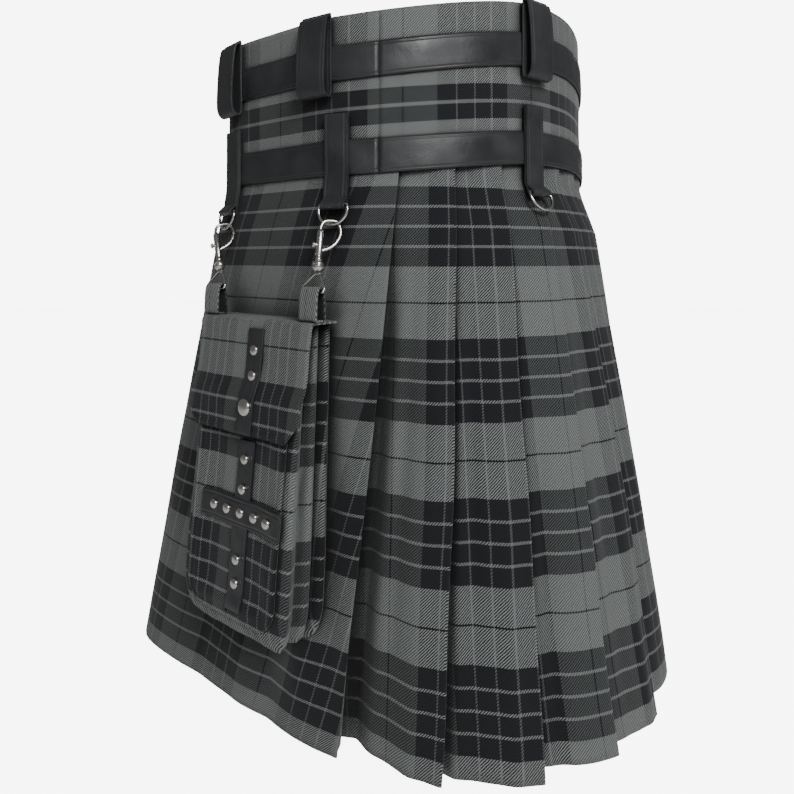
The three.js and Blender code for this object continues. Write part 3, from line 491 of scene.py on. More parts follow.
# Over apron
# The flat front length that laps over the rest, turned in at the left hip in a deep fold and free
# at the right hip. Its slack settles in long shallow troughs between the hips and the hem.
APRON_ROWS = 74
APRON_COLUMNS = 130
APRON_CREASES = [
    (-62, -330, 7, 150, -3.6, 1.6), (-38, -420, 5, 120, 3.0, -1), (-14, -380, 7, 160, -3.2, 0.6),
    (16, -430, 6, 130, -3.0, -0.8), (40, -350, 5, 140, 2.4, 1), (101, -360, 3.4, 170, -4.2, -1.8),
    (94, -500, 3, 60, 2.8, 1.0), (60, -520, 4, 70, -3.2, 1.2), (74, -540, 4, 60, 2.4, -0.8),
    (-84, -440, 5, 120, -3.0, 1), (5, -190, 14, 40, -1.4, 0), (107, -250, 3, 70, -2.2, -1),
    (-22, -480, 3.5, 90, -2.6, -1.2), (28, -500, 3.5, 80, 2.4, 0.8), (-72, -500, 3.5, 80, 2.6, -0.8),
    (66, -420, 3, 90, -2.2, 0.6), (84, -545, 3, 50, -2.6, 0.4),
]
APRON_FREE = (-115.5, -103.5)


def corner_arc(y):
    """Distance round to where the hem passes a place on the left side."""
    turn = 60.0
    while plan_point(turn, HEM).y < y:
        turn += 0.25
    return arc(turn, HEM)


APRON_DARK = corner_arc(-12)


def apron_place(i, j):
    share = i / (APRON_ROWS - 1)
    free, fold = mix(*APRON_FREE, share), pleat_turn(PLEATS[0], share)
    flat = APRON_COLUMNS - 8
    deep = max(2.0, pleat_depth(PLEATS[0], share) - 2.4)
    if j < flat:
        f = j / (flat - 1)
        turn, along, depth, past = mix(free, fold, f), -1.2 * f ** 30, 0.0, 0.0
    else:
        step = j - flat
        turn = fold
        if step < 3:
            angle = math.radians((35, 90, 145)[step])
            along, depth = 0.9 * math.sin(angle), 1 - math.cos(angle)
        else:
            share_back = (step - 2) / 5
            along = -20 * mix(0.6, 0.5, share) * share_back
            depth = mix(2.0, deep, eased(share_back * 1.3))
        past = 2.0 * (step + 1)
    z = height_at(share, turn)
    waver = 1.4 * math.sin(z / 66) * share * max(0, 1 - abs(turn - fold) / 8)
    out = creased(turn, z, APRON_CREASES) * min(1, share * 4)
    shifted = turn + (along + waver) / plan_point(turn, z).length * 57.3
    soft = 0.5 * noise.noise(Vector((turn / 11, z / 70, 3.3)))
    return on_cloth(shifted, z, out - depth - 0.05 + soft), (arc(turn, z) - APRON_DARK + past, -z)


piece = cloth_grid("over_apron_cloth", APRON_ROWS, APRON_COLUMNS, apron_place, skirt_tartan)
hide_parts("over_apron")
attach(piece, "kilt")
declare_sheet(APRON_ROWS, APRON_COLUMNS, apron_place)

# Under apron
# The inner front length, which joins the last pleat at the right hip and reaches across under the
# over apron. It is one plain sheet.
UNDER_ROWS = 40
UNDER_COLUMNS = 90


def under_place(i, j):
    share = i / (UNDER_ROWS - 1)
    start = pleat_turn(PLEATS[-1], share) - 360 + 9.4
    turn = mix(start, 80, j / (UNDER_COLUMNS - 1))
    z = mix(level(TOP_EDGE, turn) - 2, HEM + 4, share)
    inset = mix(2.0, 8, math.sqrt(share))
    return on_cloth(turn, z, -inset - 0.1), (arc(turn, z), -z)


piece = cloth_grid("under_apron_cloth", UNDER_ROWS, UNDER_COLUMNS, under_place, skirt_tartan)
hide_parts("under_apron")
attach(piece, "kilt")
declare_sheet(UNDER_ROWS, UNDER_COLUMNS, under_place)

# Leather strips
# Smooth black leather in a front and a back length at two heights round the waist, sewn to the
# cloth along both edges. The edges are pressed down by the stitches and the middle stands proud.
LEATHER = 1.6


def black_leather():
    """Chrome-tanned black hide: soft sheen, fine grain, thread sunk near the edges."""
    material, shader = new_material("black_chrome_tanned_leather")
    place = add_node(material, "ShaderNodeUVMap", {"uv_map": "cloth"})
    solid = add_node(material, "ShaderNodeTexCoord")
    axes = add_node(material, "ShaderNodeSeparateXYZ", Vector=place.outputs[0])
    # One stitch each 3.4 mm, 2.6 mm from the edge
    step = add_node(material, "ShaderNodeMath", {"operation": "DIVIDE"}, i0=axes.outputs[0], i1=3.4)
    turn = add_node(material, "ShaderNodeMath", {"operation": "FRACT"}, i0=step.outputs[0])
    dash = add_node(material, "ShaderNodeMath", {"operation": "LESS_THAN"}, i0=turn.outputs[0], i1=0.68)
    away = add_node(material, "ShaderNodeMath", {"operation": "SUBTRACT"}, i0=axes.outputs[1], i1=2.6)
    near = add_node(material, "ShaderNodeMath", {"operation": "ABSOLUTE"}, i0=away.outputs[0])
    line = add_node(material, "ShaderNodeMath", {"operation": "LESS_THAN"}, i0=near.outputs[0], i1=0.42)
    thread = add_node(material, "ShaderNodeMath", {"operation": "MULTIPLY"},
                      i0=dash.outputs[0], i1=line.outputs[0])
    groove = add_node(material, "ShaderNodeMapRange", {"interpolation_type": "SMOOTHSTEP"},
                      Value=near.outputs[0], From_Min=0.0, From_Max=1.5)
    # Pebbled grain 0.7 mm across, and creases and rubbed places a few centimetres long
    grain = add_node(material, "ShaderNodeTexVoronoi", Vector=solid.outputs["Object"], Scale=1300.0)
    rub = add_node(material, "ShaderNodeTexNoise", Vector=solid.outputs["Object"], Scale=30.0, Detail=4.0)
    crease = add_node(material, "ShaderNodeTexNoise", Vector=solid.outputs["Object"], Scale=95.0, Detail=2.0,
                      Distortion=0.3)
    tone = add_node(material, "ShaderNodeMix", {"data_type": "RGBA"}, i0=rub.outputs["Fac"],
                    i6=linear("#1A1B1D"), i7=linear("#393A3C"))
    colour = add_node(material, "ShaderNodeMix", {"data_type": "RGBA"}, i0=thread.outputs[0],
                      i6=tone.outputs[2], i7=linear("#2E2F31"))
    gloss = add_node(material, "ShaderNodeMapRange", Value=rub.outputs["Fac"],
                     From_Min=0.35, From_Max=0.65, To_Min=0.3, To_Max=0.55)
    height = add_node(material, "ShaderNodeMath", {"operation": "MULTIPLY_ADD"},
                      i0=groove.outputs[0], i1=1.6, i2=thread.outputs[0])
    raised = add_node(material, "ShaderNodeMath", {"operation": "MULTIPLY_ADD"},
                      i0=grain.outputs["Distance"], i1=0.25, i2=height.outputs[0])
    waved = add_node(material, "ShaderNodeMath", {"operation": "MULTIPLY_ADD"},
                     i0=crease.outputs["Fac"], i1=1.0, i2=raised.outputs[0])
    bump = add_node(material, "ShaderNodeBump", Strength=0.5, Distance=0.0006, Height=waved.outputs[0])
    links = material.node_tree.links
    links.new(colour.outputs[2], shader.inputs["Base Color"])
    links.new(gloss.outputs[0], shader.inputs["Roughness"])
    links.new(bump.outputs["Normal"], shader.inputs["Normal"])
    return material


leather = black_leather()
STRIP_OUT = 2.3
STRIP_ROWS = 11
STRIP_COLUMNS = {"front": 170, "back": 100}
STRIP_WALL = LEATHER - 0.2
for name, heights in (("upper", UPPER_STRIP_TOP), ("lower", LOWER_STRIP_TOP)):
    for part, start, end in LENGTHS:
        columns = STRIP_COLUMNS[part]

        def strip_place(i, j, heights=heights, start=start, end=end, columns=columns):
            turn = mix(start, end, j / (columns - 1))
            share = i / (STRIP_ROWS - 1)
            z = level(heights, turn) - STRIP_HEIGHT * share
            edge = STRIP_HEIGHT * min(share, 1 - share)
            crown = 0.45 * eased(edge / 6) - 0.3
            soft = 0.35 * noise.noise(Vector((turn / 5, z / 14, 7.7)))
            return on_cloth(turn, z, STRIP_OUT + crown + soft), (arc(turn, z), edge)

        piece = cloth_grid(f"{name}_strip_{part}_leather", STRIP_ROWS, columns, strip_place, leather,
                           STRIP_WALL)
        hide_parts(f"{name}_strip_{part}")
        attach(piece, "kilt")


# Belt loops
# Straps of leather folded back on themselves and sewn flat behind, so that each stands off the
# waist for a belt. Five hang from the top edge, two on each side and one at the back.
LOOPS = (("front_left", 59), ("front_right", -59), ("side_left", 94), ("side_right", -94),
         ("back", 164))
LOOP_WIDTH, LOOP_HEIGHT, LOOP_OFF = 30, 68, 11.5
ON_STRIP = 2.6


def standing(turn, z):
    return plan_point(turn, z).dot(outward(turn, 0))


def sideways(turn):
    n = outward(turn, 0)
    return plan_point(turn, 0).dot(Vector((n.y, -n.x)))


def in_frame(turn, side, out, z):
    """Point in the upright frame that stands on the cloth at a turn."""
    n = outward(turn, 0)
    p = Vector((n.y, -n.x)) * (sideways(turn) + side) + n * out
    return Vector((p.x, p.y, z))


def smooth_path(points, steps, closed=True):
    """Points along a smooth curve through the given ones."""
    points = [Vector(p) for p in points]
    count, path = len(points), []
    spans = count if closed else count - 1
    for i in range(spans):
        if closed:
            a, b, c, d = (points[(i + k) % count] for k in (-1, 0, 1, 2))
        else:
            a, b, c, d = (points[min(count - 1, max(0, i + k))] for k in (-1, 0, 1, 2))
        for s in range(steps):
            t = s / steps
            path.append(b + (c - a) * 0.5 * t + (a - b * 2.5 + c * 2 - d * 0.5) * t * t
                        + (b * 1.5 - a * 0.5 - c * 1.5 + d * 0.5) * t ** 3)
    return path + ([path[0]] if closed else [points[-1]])


def leather_band(name, turn, path, width, closed):
    """A strap of even width bent along a path of (out, z) in the frame at a turn."""
    lengths = [0.0]
    for a, b in zip(path, path[1:]):
        lengths.append(lengths[-1] + (b - a).length)
    columns = 9

    def band_place(i, j):
        side = width * (j / (columns - 1) - 0.5)
        edge = width / 2 - abs(side)
        out, z = path[i]
        return in_frame(turn, side, out, z), (lengths[i], edge)

    piece = cloth_grid(name, len(path), columns, band_place, leather, LEATHER, 0, closed)
    bevel = piece.modifiers.new("rubbed_edges", "BEVEL")
    bevel.width, bevel.segments, bevel.limit_method = 0.0004, 2, "ANGLE"
    bpy.ops.object.modifier_apply(modifier="rubbed_edges")
    bpy.ops.object.shade_smooth_by_angle(angle=math.radians(50))
    return piece


def stands_for(piece, node, body="kilt"):
    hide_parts(node)
    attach(piece, body)


def on_both_sides(piece, node, part="made"):
    """Names the left piece, adds its mirror image on the right, and puts both in place of their parts on the
    kilt.
    """
    copy = piece.copy()
    copy.data = piece.data.copy()
    bpy.context.collection.objects.link(copy)
    for vertex in copy.data.vertices:
        vertex.co.x = -vertex.co.x
    copy.data.flip_normals()
    for side, made in (("left", piece), ("right", copy)):
        made.name = f"{node}_{side}_{part}"
        stands_for(made, f"{node}_{side}")
    return piece, copy


LOOP_FORM = [(0, 0), (0, 0.5), (0, 0.93), (0.3, 1), (0.75, 0.97), (1, 0.86), (0.97, 0.6), (0.8, 0.25),
             (0.55, 0.04), (0.25, 0)]
for name, turn in LOOPS:
    top = level(TOP_EDGE, turn) - 0.5
    near = standing(turn, 0) + ON_STRIP + LEATHER / 2
    reach, drop = LOOP_OFF - LEATHER, LOOP_HEIGHT - LEATHER
    path = smooth_path([(near + out * reach, top - LEATHER / 2 - down * drop) for out, down in LOOP_FORM], 5)
    piece = leather_band(f"belt_loop_{name}_made", turn, path, LOOP_WIDTH, True)
    stands_for(piece, f"belt_loop_{name}")

# Ring straps
# Two layers of leather over the lower strip, folded at the bottom round the bar of a ring and
# sewn across just above it.
STRAPS = (("front_left", 59.5), ("front_right", -59.5), ("side_left", 100.5), ("side_right", -100.5),
          ("back", 163))
STRAP_WIDTH, STRAP_ABOVE, BAR_DROP, EYE, EYE_MIDDLE = 22, 22, 54, 4.0, 3.15


def ring_bar(turn):
    z = level(LOWER_STRIP_TOP, turn) - BAR_DROP
    return standing(turn, z) + ON_STRIP + EYE, z


for name, turn in STRAPS:
    out, z = ring_bar(turn)
    low = level(LOWER_STRIP_TOP, turn)
    heights = [low + STRAP_ABOVE, low - 4, low - STRIP_HEIGHT, z + EYE + 5, z + EYE + 1.5]
    layer = LEATHER + 0.2
    back = [(standing(turn, h) + ON_STRIP + LEATHER / 2, h) for h in heights]
    eye = [(out + EYE_MIDDLE * math.cos(math.radians(a)), z + EYE_MIDDLE * math.sin(math.radians(a)))
           for a in (190, 225, 260, 295, 330, 365)]
    face = [(standing(turn, h) + ON_STRIP + LEATHER / 2 + layer, h) for h in reversed(heights)]
    path = smooth_path(back + eye + face, 4, closed=False)
    piece = leather_band(f"ring_strap_{name}_made", turn, path, STRAP_WIDTH, False)
    stands_for(piece, f"ring_strap_{name}")

# Rings
# D rings of bent nickel-plated wire. Four carry the pockets, and the one at the back hangs free
# and can swing up.
nickel, nickel_shader = new_material("bright_nickel_plate")
nickel_place = add_node(nickel, "ShaderNodeTexCoord")
nickel_wear = add_node(nickel, "ShaderNodeTexNoise", Vector=nickel_place.outputs["Object"],
                       Scale=400.0, Detail=2.0)
nickel_gloss = add_node(nickel, "ShaderNodeMapRange", Value=nickel_wear.outputs["Fac"],
                        From_Min=0.3, From_Max=0.7, To_Min=0.14, To_Max=0.3)
nickel_shader.inputs["Base Color"].default_value = linear("#C8C5BF")
nickel_shader.inputs["Metallic"].default_value = 1.0
nickel.node_tree.links.new(nickel_gloss.outputs[0], nickel_shader.inputs["Roughness"])
RING_BAR, RING_DROP, RING_WIRE = 12.8, 17, 1.3


def ring_frame(turn):
    out, z = ring_bar(turn)
    n = outward(turn, 0)
    along, outwards = Vector((n.y, -n.x, 0)), Vector((n.x, n.y, 0))
    centre = in_frame(turn, 0, out, z)
    flare = standing(turn, z - RING_DROP) - standing(turn, z) + 0.8
    down = (Vector((0, 0, -RING_DROP)) + outwards * flare).normalized()
    return centre, along, down


def wire(name, points, radius, closed=True):
    """Round wire along points in mm, made a mesh."""
    curve = bpy.data.curves.new(name, "CURVE")
    curve.dimensions = "3D"
    curve.bevel_depth = radius / 1000
    curve.bevel_resolution = 3
    curve.use_fill_caps = True
    spline = curve.splines.new("POLY")
    spline.points.add(len(points) - 1)
    for place, p in zip(spline.points, points):
        place.co = (*(Vector(p) / 1000), 1)
    spline.use_cyclic_u = closed
    piece = bpy.data.objects.new(name, curve)
    bpy.context.collection.objects.link(piece)
    bpy.ops.object.select_all(action="DESELECT")
    piece.select_set(True)
    bpy.context.view_layer.objects.active = piece
    bpy.ops.object.convert(target="MESH")
    piece = bpy.context.object
    piece.data.materials.append(nickel)
    bpy.ops.object.shade_smooth_by_angle(angle=math.radians(60))
    return piece


for name, turn in STRAPS:
    centre, along, down = ring_frame(turn)
    path = [(-RING_BAR, 0), (0, 0), (RING_BAR, 0)]
    path += [((RING_BAR + 0.8) * math.cos(math.radians(a)), 4 + (RING_DROP - 4) * math.sin(math.radians(a)))
             for a in range(0, 181, 9)]
    ring = wire(f"d_ring_{name}_made", [centre + along * x + down * y for x, y in path], RING_WIRE)
    stands_for(ring, f"d_ring_{name}", "ring" if name == "back" else "kilt")

# Snaps
# Two nickel caps that close the free edge of the over apron, one on each leather strip.
def turned(name, profile, foot, axis, sides=28):
    """A round piece from (radius, height) along an axis, closed at both ends."""
    axis = Vector(axis).normalized()
    across = axis.orthogonal().normalized()
    third = axis.cross(across)

    def turned_place(i, j):
        angle = -2 * math.pi * (j % (sides - 1)) / (sides - 1)
        radius, height = profile[i]
        p = Vector(foot) + axis * height + (across * math.cos(angle) + third * math.sin(angle)) * radius
        return p, (j, height)

    piece = cloth_grid(name, len(profile), sides, turned_place, nickel, 0, closed=True)
    bpy.ops.object.mode_set(mode="EDIT")
    bpy.ops.mesh.select_all(action="SELECT")
    bpy.ops.mesh.dissolve_degenerate(threshold=1e-6)
    bpy.ops.mesh.normals_make_consistent(inside=False)
    bpy.ops.object.mode_set(mode="OBJECT")
    bpy.ops.object.shade_smooth_by_angle(angle=math.radians(50))
    return piece


SNAP_IN = 6
CAP = [(0, 0), (6.3, 0), (6.5, 0.5), (6.1, 1.2), (5.2, 1.5), (4.6, 1.4), (4.0, 1.6), (2.5, 2.2),
       (0, 2.4)]
for name, heights in (("upper", UPPER_STRIP_TOP), ("lower", LOWER_STRIP_TOP)):
    turn = APRON_FREE[0] + SNAP_IN
    z = level(heights, turn) - STRIP_HEIGHT / 2
    n = outward(turn, 0)
    foot = in_frame(turn, 0, standing(turn, z) + ON_STRIP, z)
    piece = turned(f"snap_{name}_made", CAP, foot, (n.x, n.y, 0))
    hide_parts(f"snap_{name}")
    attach(piece, "kilt")

# Pocket bag
# A cargo bag of the same tartan with two bellows folds down each side, open under its flap. The
# bag is made once for the left hip and mirrored. It hangs close to the apron.
POCKET_Y, POCKET_TOP, POCKET_FOOT, POCKET_CLEAR = -25, -232, -487, 0.5
POCKET_ROWS = [(-232, 57, 29), (-330, 60, 34), (-420, 63, 39), (-462, 63, 40), (-480, 58, 37), (-487, 51, 32)]
BELLOWS = [(0, 0), (0.2, 6), (0.4, 0), (0.62, 6.5), (0.86, 0), (1, 3.5)]
pocket_tartan = tartan("wool_tartan_twill_pocket", warp_shift=65.0, weft_shift=-279.5,
                       warp_sett=(45.5, (11.4, 22.8, 34.2), 80.0))
BAG_ROWS, BAG_FLOOR_ROWS, BAG_STEPS = 60, 6, 7
BAG_LAST = BAG_ROWS - BAG_FLOOR_ROWS - 1


def side_at(z):
    return plan_point(90, z).x


def pocket_point(s, out, z):
    return Vector((side_at(z) + out, POCKET_Y + s, z))


def pocket_row(z):
    i = 1
    while i < len(POCKET_ROWS) - 1 and POCKET_ROWS[i][0] > z:
        i += 1
    a, b = POCKET_ROWS[i - 1], POCKET_ROWS[i]
    t = min(1, max(0, (z - a[0]) / (b[0] - a[0])))
    return mix(a[1], b[1], t), mix(a[2], b[2], t)


def bag_ring(z):
    half, depth = pocket_row(z)
    right = [(half - tuck, POCKET_CLEAR + out * depth) for out, tuck in BELLOWS]
    left = [(-s, out) for s, out in reversed(right)]
    return smooth_path(right + [(0, POCKET_CLEAR + depth)] + left + [(0, POCKET_CLEAR)], BAG_STEPS)


BAG_COLUMNS = len(bag_ring(-300))
BAG_RINGS = [bag_ring(mix(POCKET_TOP, POCKET_FOOT, i / BAG_LAST)) for i in range(BAG_LAST + 1)]


def bag_place(i, j):
    low = min(i, BAG_LAST)
    z = mix(POCKET_TOP, POCKET_FOOT, low / BAG_LAST)
    ring = BAG_RINGS[low]
    s, out = ring[j]
    half, deep = pocket_row(z)
    if i > low:
        shrink = 1 - (i - low) / BAG_FLOOR_ROWS
        middle = deep / 2
        s, out = s * shrink, middle + (out - middle) * shrink
    before = sum((ring[k + 1] - ring[k]).length for k in range(j))
    middle = sum((ring[k + 1] - ring[k]).length for k in range(len(BELLOWS) * BAG_STEPS))
    rumple = 1.4 * noise.noise(Vector((s / 24, out / 9, z / 34))) * min(1, max(0, out - 4) / 10)
    sink = 0.7 * math.exp(-((half - abs(s) - 7) / 1.4) ** 2) if out > deep * 0.98 else 0
    return pocket_point(s + rumple * 0.8, out + rumple - sink, z), (middle - before, -z)


piece = cloth_grid("bag", BAG_ROWS, BAG_COLUMNS, bag_place, pocket_tartan, 1.8, closed=True)
for made in on_both_sides(piece, "pocket_bag"):
    declare_sheet(BAG_ROWS, BAG_COLUMNS, bag_place)

# Pocket patch
# A second, shallow pocket of tartan on the front of the bag, with round lower corners and an edge
# turned in and stitched. It stands off the bag round its edge.
PATCH_TOP, PATCH_FOOT, PATCH_HALF, PATCH_LIFT, PATCH_WALL = -300, -474, 57, 3.2, 2.0
PATCH_ROWS, PATCH_COLUMNS = 62, 48


def bag_front(z):
    return POCKET_CLEAR + pocket_row(z)[1]


def patch_half(z):
    low = min(1, max(0, (PATCH_FOOT + 24 - z) / 24))
    return PATCH_HALF - 24 * (1 - math.sqrt(1 - low ** 2 * 0.96))


def patch_front(s, z):
    inside = min(PATCH_HALF - abs(s), z - PATCH_FOOT, 30)
    return bag_front(z) + 0.3 + PATCH_LIFT * eased(1 - inside / 30) + PATCH_WALL


def patch_place(i, j):
    z = mix(PATCH_TOP, PATCH_FOOT, i / (PATCH_ROWS - 1))
    f = 2 * j / (PATCH_COLUMNS - 1) - 1
    s = patch_half(z) * f
    edge = min(patch_half(z) - abs(s), z - PATCH_FOOT)
    seam = -0.8 * math.exp(-((edge - 7) / 1.5) ** 2) - 1.0 * math.exp(-((edge / 1.6) ** 2))
    rumple = 1.3 * noise.noise(Vector((s / 22, 4.4, z / 30))) * eased(edge / 12)
    return pocket_point(s, patch_front(s, z) + seam + rumple - 0.3, z), (s, -z)


piece = cloth_grid("patch", PATCH_ROWS, PATCH_COLUMNS, patch_place, pocket_tartan, 1.8)
for made in on_both_sides(piece, "pocket_patch"):
    declare_sheet(PATCH_ROWS, PATCH_COLUMNS, patch_place)

# Pocket flap
# A flap of doubled tartan sewn along the back of the bag's mouth, folded over the top and hanging
# down the front, with cut corners and a stitched edge.
FLAP_HALF, FLAP_FOOT, FLAP_WALL, FLAP_CUT = 72, -324, 2.2, 15


def flap_inside(z):
    stand = 0.3 + PATCH_LIFT + PATCH_WALL + 0.6
    return max(bag_front(z) + 0.8, bag_front(z) + stand * eased((-270 - z) / 28))


FLAP_TOP = POCKET_TOP + 0.6 + FLAP_WALL
FLAP_PATH = smooth_path(
    [(1.4, FLAP_TOP), (0.5 * bag_front(POCKET_TOP), FLAP_TOP), (flap_inside(-233) - 3.0, FLAP_TOP - 0.2),
     (flap_inside(-233) + 0.9, FLAP_TOP - 2.6)]
    + [(flap_inside(z) + FLAP_WALL, z) for z in (-240, -252, -266, -280, -290, -298, -306, -312, -318, -324)],
    4, closed=False)
FLAP_COLUMNS = 56


def flap_place(i, j):
    out, z = FLAP_PATH[i]
    half = FLAP_HALF - max(0, FLAP_FOOT + FLAP_CUT - z) * 0.9
    s = half * (2 * j / (FLAP_COLUMNS - 1) - 1)
    edge = min(half - abs(s), z - FLAP_FOOT)
    on_front = eased((-234 - z) / 8)
    seam = (-0.9 * math.exp(-((edge - 7) / 1.5) ** 2) - 0.9 * math.exp(-((edge / 1.6) ** 2))) * on_front
    rumple = 1.3 * noise.noise(Vector((s / 26, 8.1, z / 26))) * on_front
    curl = 2.2 * eased((abs(s) - 45) / 27) * eased((-290 - z) / 34)
    sunk = 0.3 * noise.noise(Vector((s / 20, 2.2, out / 12)))
    on_top = 1 - on_front
    woven = (s, -z + 0.4 * (30 - out) * on_top)
    return pocket_point(s, out + seam + rumple + curl, z + sunk * on_top), woven


piece = cloth_grid("flap", len(FLAP_PATH), FLAP_COLUMNS, flap_place, pocket_tartan, 1.9)
for made in on_both_sides(piece, "pocket_flap"):
    declare_sheet(len(FLAP_PATH), FLAP_COLUMNS, flap_place)

# Flap strip and cross
# Flat strips of leather riveted down the flap and in a cross on the patch, with nickel domes:
# two small and one large on the flap, nine small on the cross.
STRIP_MIDDLE, STRIP_HALF, LEVEL_TO = 9, 9.5, -430


def trim_grid(name, top, foot, left_edge, right_edge, out_at, lengthways):
    """A flat leather trim on the pocket, with its stitch lines along its long edges."""
    rows, columns = (34, 9) if lengthways else (9, 40)

    def trim_place(i, j):
        z = mix(top, foot, i / (rows - 1))
        s = mix(left_edge, right_edge, j / (columns - 1))
        edge = min(right_edge - s, s - left_edge) if lengthways else min(top - z, z - foot)
        soft = 0.4 * noise.noise(Vector((s / 12, 5.0, z / 12))) - 0.25 * math.exp(-(edge / 1.2) ** 2)
        return pocket_point(s, out_at(s, z) + LEATHER + soft, z), (-z if lengthways else s, edge)

    piece = cloth_grid(name, rows, columns, trim_place, leather, LEATHER)
    bevel = piece.modifiers.new("cut_edges", "BEVEL")
    bevel.width, bevel.segments, bevel.limit_method = 0.0003, 2, "ANGLE"
    bpy.ops.object.modifier_apply(modifier="cut_edges")
    bpy.ops.object.shade_smooth_by_angle(angle=math.radians(50))
    return piece


def on_flap(s, z):
    return flap_inside(z) + FLAP_WALL + 0.5


def on_patch(s, z):
    level_part = patch_front(0, max(z, LEVEL_TO))
    rise = max(0, patch_front(0, z) - patch_front(0, LEVEL_TO)) if z < LEVEL_TO else 0
    return level_part + rise + 0.7


def on_bar(s, z):
    return max(patch_front(s, z), patch_front(0, z)) + 0.9


DOME = [(0, -0.6), (0.94, -0.6), (1.0, 0.1), (0.96, 0.36), (0.82, 0.66), (0.6, 0.86), (0.3, 0.97), (0, 1.0)]


def domes(name, places, out_at):
    """Nickel dome rivets, each on its washer-flat foot, joined in one piece."""
    made = []
    for s, z, radius, height in places:
        profile = [(r * radius, h * height) for r, h in DOME]
        made.append(turned(name, profile, pocket_point(s, out_at(s, z) + LEATHER, z), (1, 0, 0.04), 20))
    bpy.ops.object.select_all(action="DESELECT")
    for piece in made:
        piece.select_set(True)
    bpy.context.view_layer.objects.active = made[0]
    bpy.ops.object.join()
    return bpy.context.object


STRIP_SPAN = (STRIP_MIDDLE - STRIP_HALF, STRIP_MIDDLE + STRIP_HALF)
piece = trim_grid("flap_trim", -237, -323, *STRIP_SPAN, on_flap, True)
on_both_sides(piece, "flap_strip")
FLAP_STUDS = [(STRIP_MIDDLE, -255, 4.6, 2.4), (STRIP_MIDDLE, -276, 4.6, 2.4), (STRIP_MIDDLE, -301, 7.4, 3.2)]
on_both_sides(domes("flap_dome", FLAP_STUDS, on_flap), "flap_strip", part="domes")
piece = trim_grid("cross_upright", -329, -464, *STRIP_SPAN, on_patch, True)
on_both_sides(piece, "pocket_cross", part="upright")
piece = trim_grid("cross_bar", -376, -398, STRIP_MIDDLE - 51, STRIP_MIDDLE + 51,
                  lambda s, z: on_bar(s, z) + 0.5 * math.exp(-((s - STRIP_MIDDLE) / 12) ** 4), False)
on_both_sides(piece, "pocket_cross", part="bar")
CROSS_STUDS = [(0, -344), (0, -368), (-35.2, -387), (-17.6, -387), (0, -387), (17.6, -387), (35.2, -387),
               (0, -424), (0, -443)]
places = [(STRIP_MIDDLE + s, z, 4.4, 2.4) for s, z in CROSS_STUDS]
on_both_sides(domes("cross_dome", places, lambda s, z: max(on_patch(s, z), on_bar(s, z)) + 0.4),
              "pocket_cross", part="domes")

# Hanger tabs
# Two loops of folded tartan on each pocket's top edge, each round the base of a wire link.
TAB_OUT, TAB_WIDTH, TAB_FOOT, TAB_COLUMNS = 22, 20, POCKET_TOP + 3.1, 11
TAB_FORM = [(-4.5, 0.9), (0, 0.9), (4.5, 0.9), (4.5, 9.5), (3.8, 20.2), (1.8, 26.1), (-1.8, 26.1),
            (-3.8, 20.2), (-4.5, 9.5)]
HANGERS = (("front", -90, 59.5), ("side", 38, 100.5))
for name, y, turn in HANGERS:
    path = smooth_path(TAB_FORM, 4)

    def tab_place(i, j, y=y, path=path):
        x, z = path[i]
        side = TAB_WIDTH * (j / (TAB_COLUMNS - 1) - 0.5)
        return (side_at(POCKET_TOP) + TAB_OUT + x, y + side, TAB_FOOT + z), (side, 1.2 * i)

    piece = cloth_grid("tab", len(path), TAB_COLUMNS, tab_place, pocket_tartan, 1.7, 0, closed=True)
    for made in on_both_sides(piece, f"pocket_tab_{name}"):
        declare_sheet(len(path), TAB_COLUMNS, tab_place)

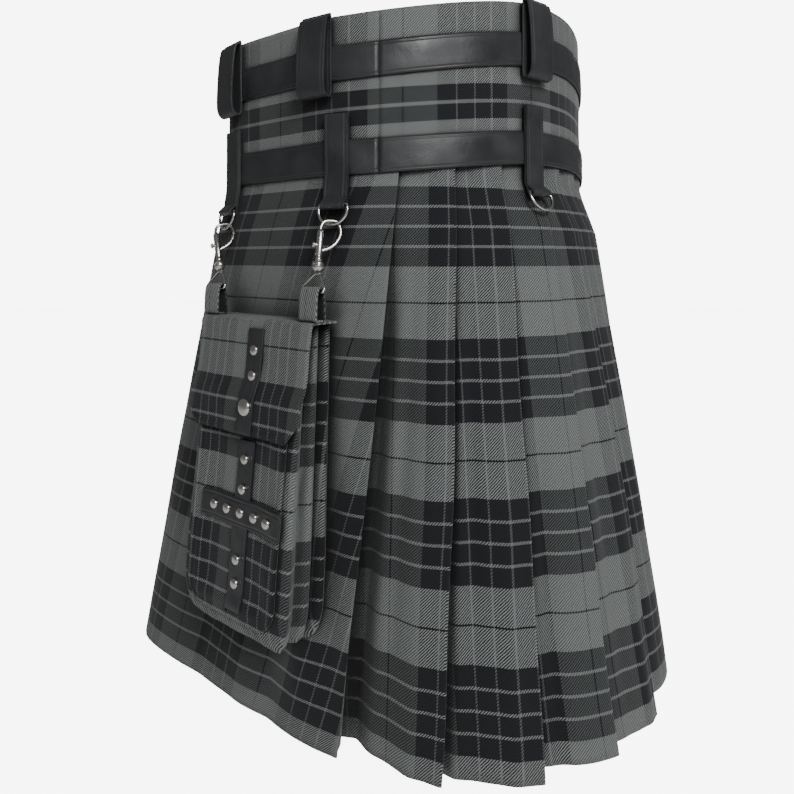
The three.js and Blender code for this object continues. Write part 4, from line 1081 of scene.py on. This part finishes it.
# Wire links and snap hooks
# Each tab hangs from a triangle of nickel wire under the swivel collar of a snap hook. The hook is
# a cast barrel with a bent arm, a thumb knob and a ribbed collar, and its bend rests on a D ring.
LINK_TOP, LINK_BASE, LINK_HEIGHT, LINK_WIRE = 3.4, 12.4, 15, 1.1
HOOK_OFF, ARM_WIRE, COLLAR_GAP, COLLAR_HEIGHT = 8.4, 1.45, 0.6, 9
for name, y, turn in HANGERS:
    centre, along, down = ring_frame(turn)
    ring = centre + down * RING_DROP
    end = Vector((side_at(POCKET_TOP) + TAB_OUT, y, TAB_FOOT + 25.2 - LINK_WIRE - 0.5))
    hang = end - ring
    axis = Vector((hang.x, 0, hang.z)).normalized()
    link_top = end - axis * LINK_HEIGHT
    beside = Vector((-0.75, 0.66, 0))
    top = ring - beside * HOOK_OFF
    down = (link_top - top).normalized()
    side = (beside - down * beside.dot(down)).normalized()
    length = (link_top - top).length
    form = [(-LINK_TOP, LINK_HEIGHT), (0, LINK_HEIGHT + 0.2), (LINK_TOP, LINK_HEIGHT), (LINK_BASE - 0.4, 4.6),
            (LINK_BASE, 1.4), (LINK_BASE - 1.2, 0), (0, 0), (-LINK_BASE + 1.2, 0), (-LINK_BASE, 1.4),
            (-LINK_BASE + 0.4, 4.6)]
    link = wire("link", smooth_path([end + Vector((0, x, 0)) - axis * z for x, z in form], 5), LINK_WIRE)
    on_both_sides(link, f"wire_link_{name}")

    def hook_at(h, d):
        return top + side * h + down * d

    arm = wire("arm", smooth_path([hook_at(*p) for p in (
        (0, 9), (0, 2), (3, -3), (8.4, -3.9), (13.8, -2.6), (16.4, 6), (13.8, 14), (8.7, 19.5), (1, 23))],
        6, closed=False), ARM_WIRE, closed=False)
    finish = length - LINK_WIRE - COLLAR_GAP
    start = finish - COLLAR_HEIGHT
    barrel = turned("barrel", [(0, 4.5), (1.7, 4.5), (2.5, 5.6), (2.9, 7.5), (2.9, start - 6),
                               (2.5, start - 5), (2.5, start - 4), (2.9, start - 3), (2.9, start - 1),
                               (2.2, start), (0, start)], top, down, 24)
    collar = turned("collar", [(0, start - 0.2), (3.2, start - 0.2), (4.7, start + 0.5), (5.1, start + 1.4),
                               (5.1, start + 2.6), (4.4, start + 3.1), (4.4, start + 3.6), (5.0, start + 4.2),
                               (4.8, start + 5.8), (3.4, start + 7.4), (1.6, finish), (0, finish)],
                    top, down, 28)
    knob = turned("knob", [(0, 0), (1.5, 0), (1.5, 1.6), (2.3, 2.0), (2.6, 2.8), (2.3, 3.8), (1.2, 4.4),
                           (0, 4.5)],
                  hook_at(-1.9, 18), -side, 20)
    bpy.ops.object.select_all(action="DESELECT")
    for piece in (arm, barrel, collar, knob):
        piece.select_set(True)
    bpy.context.view_layer.objects.active = arm
    bpy.ops.object.join()
    on_both_sides(bpy.context.object, f"snap_hook_{name}")
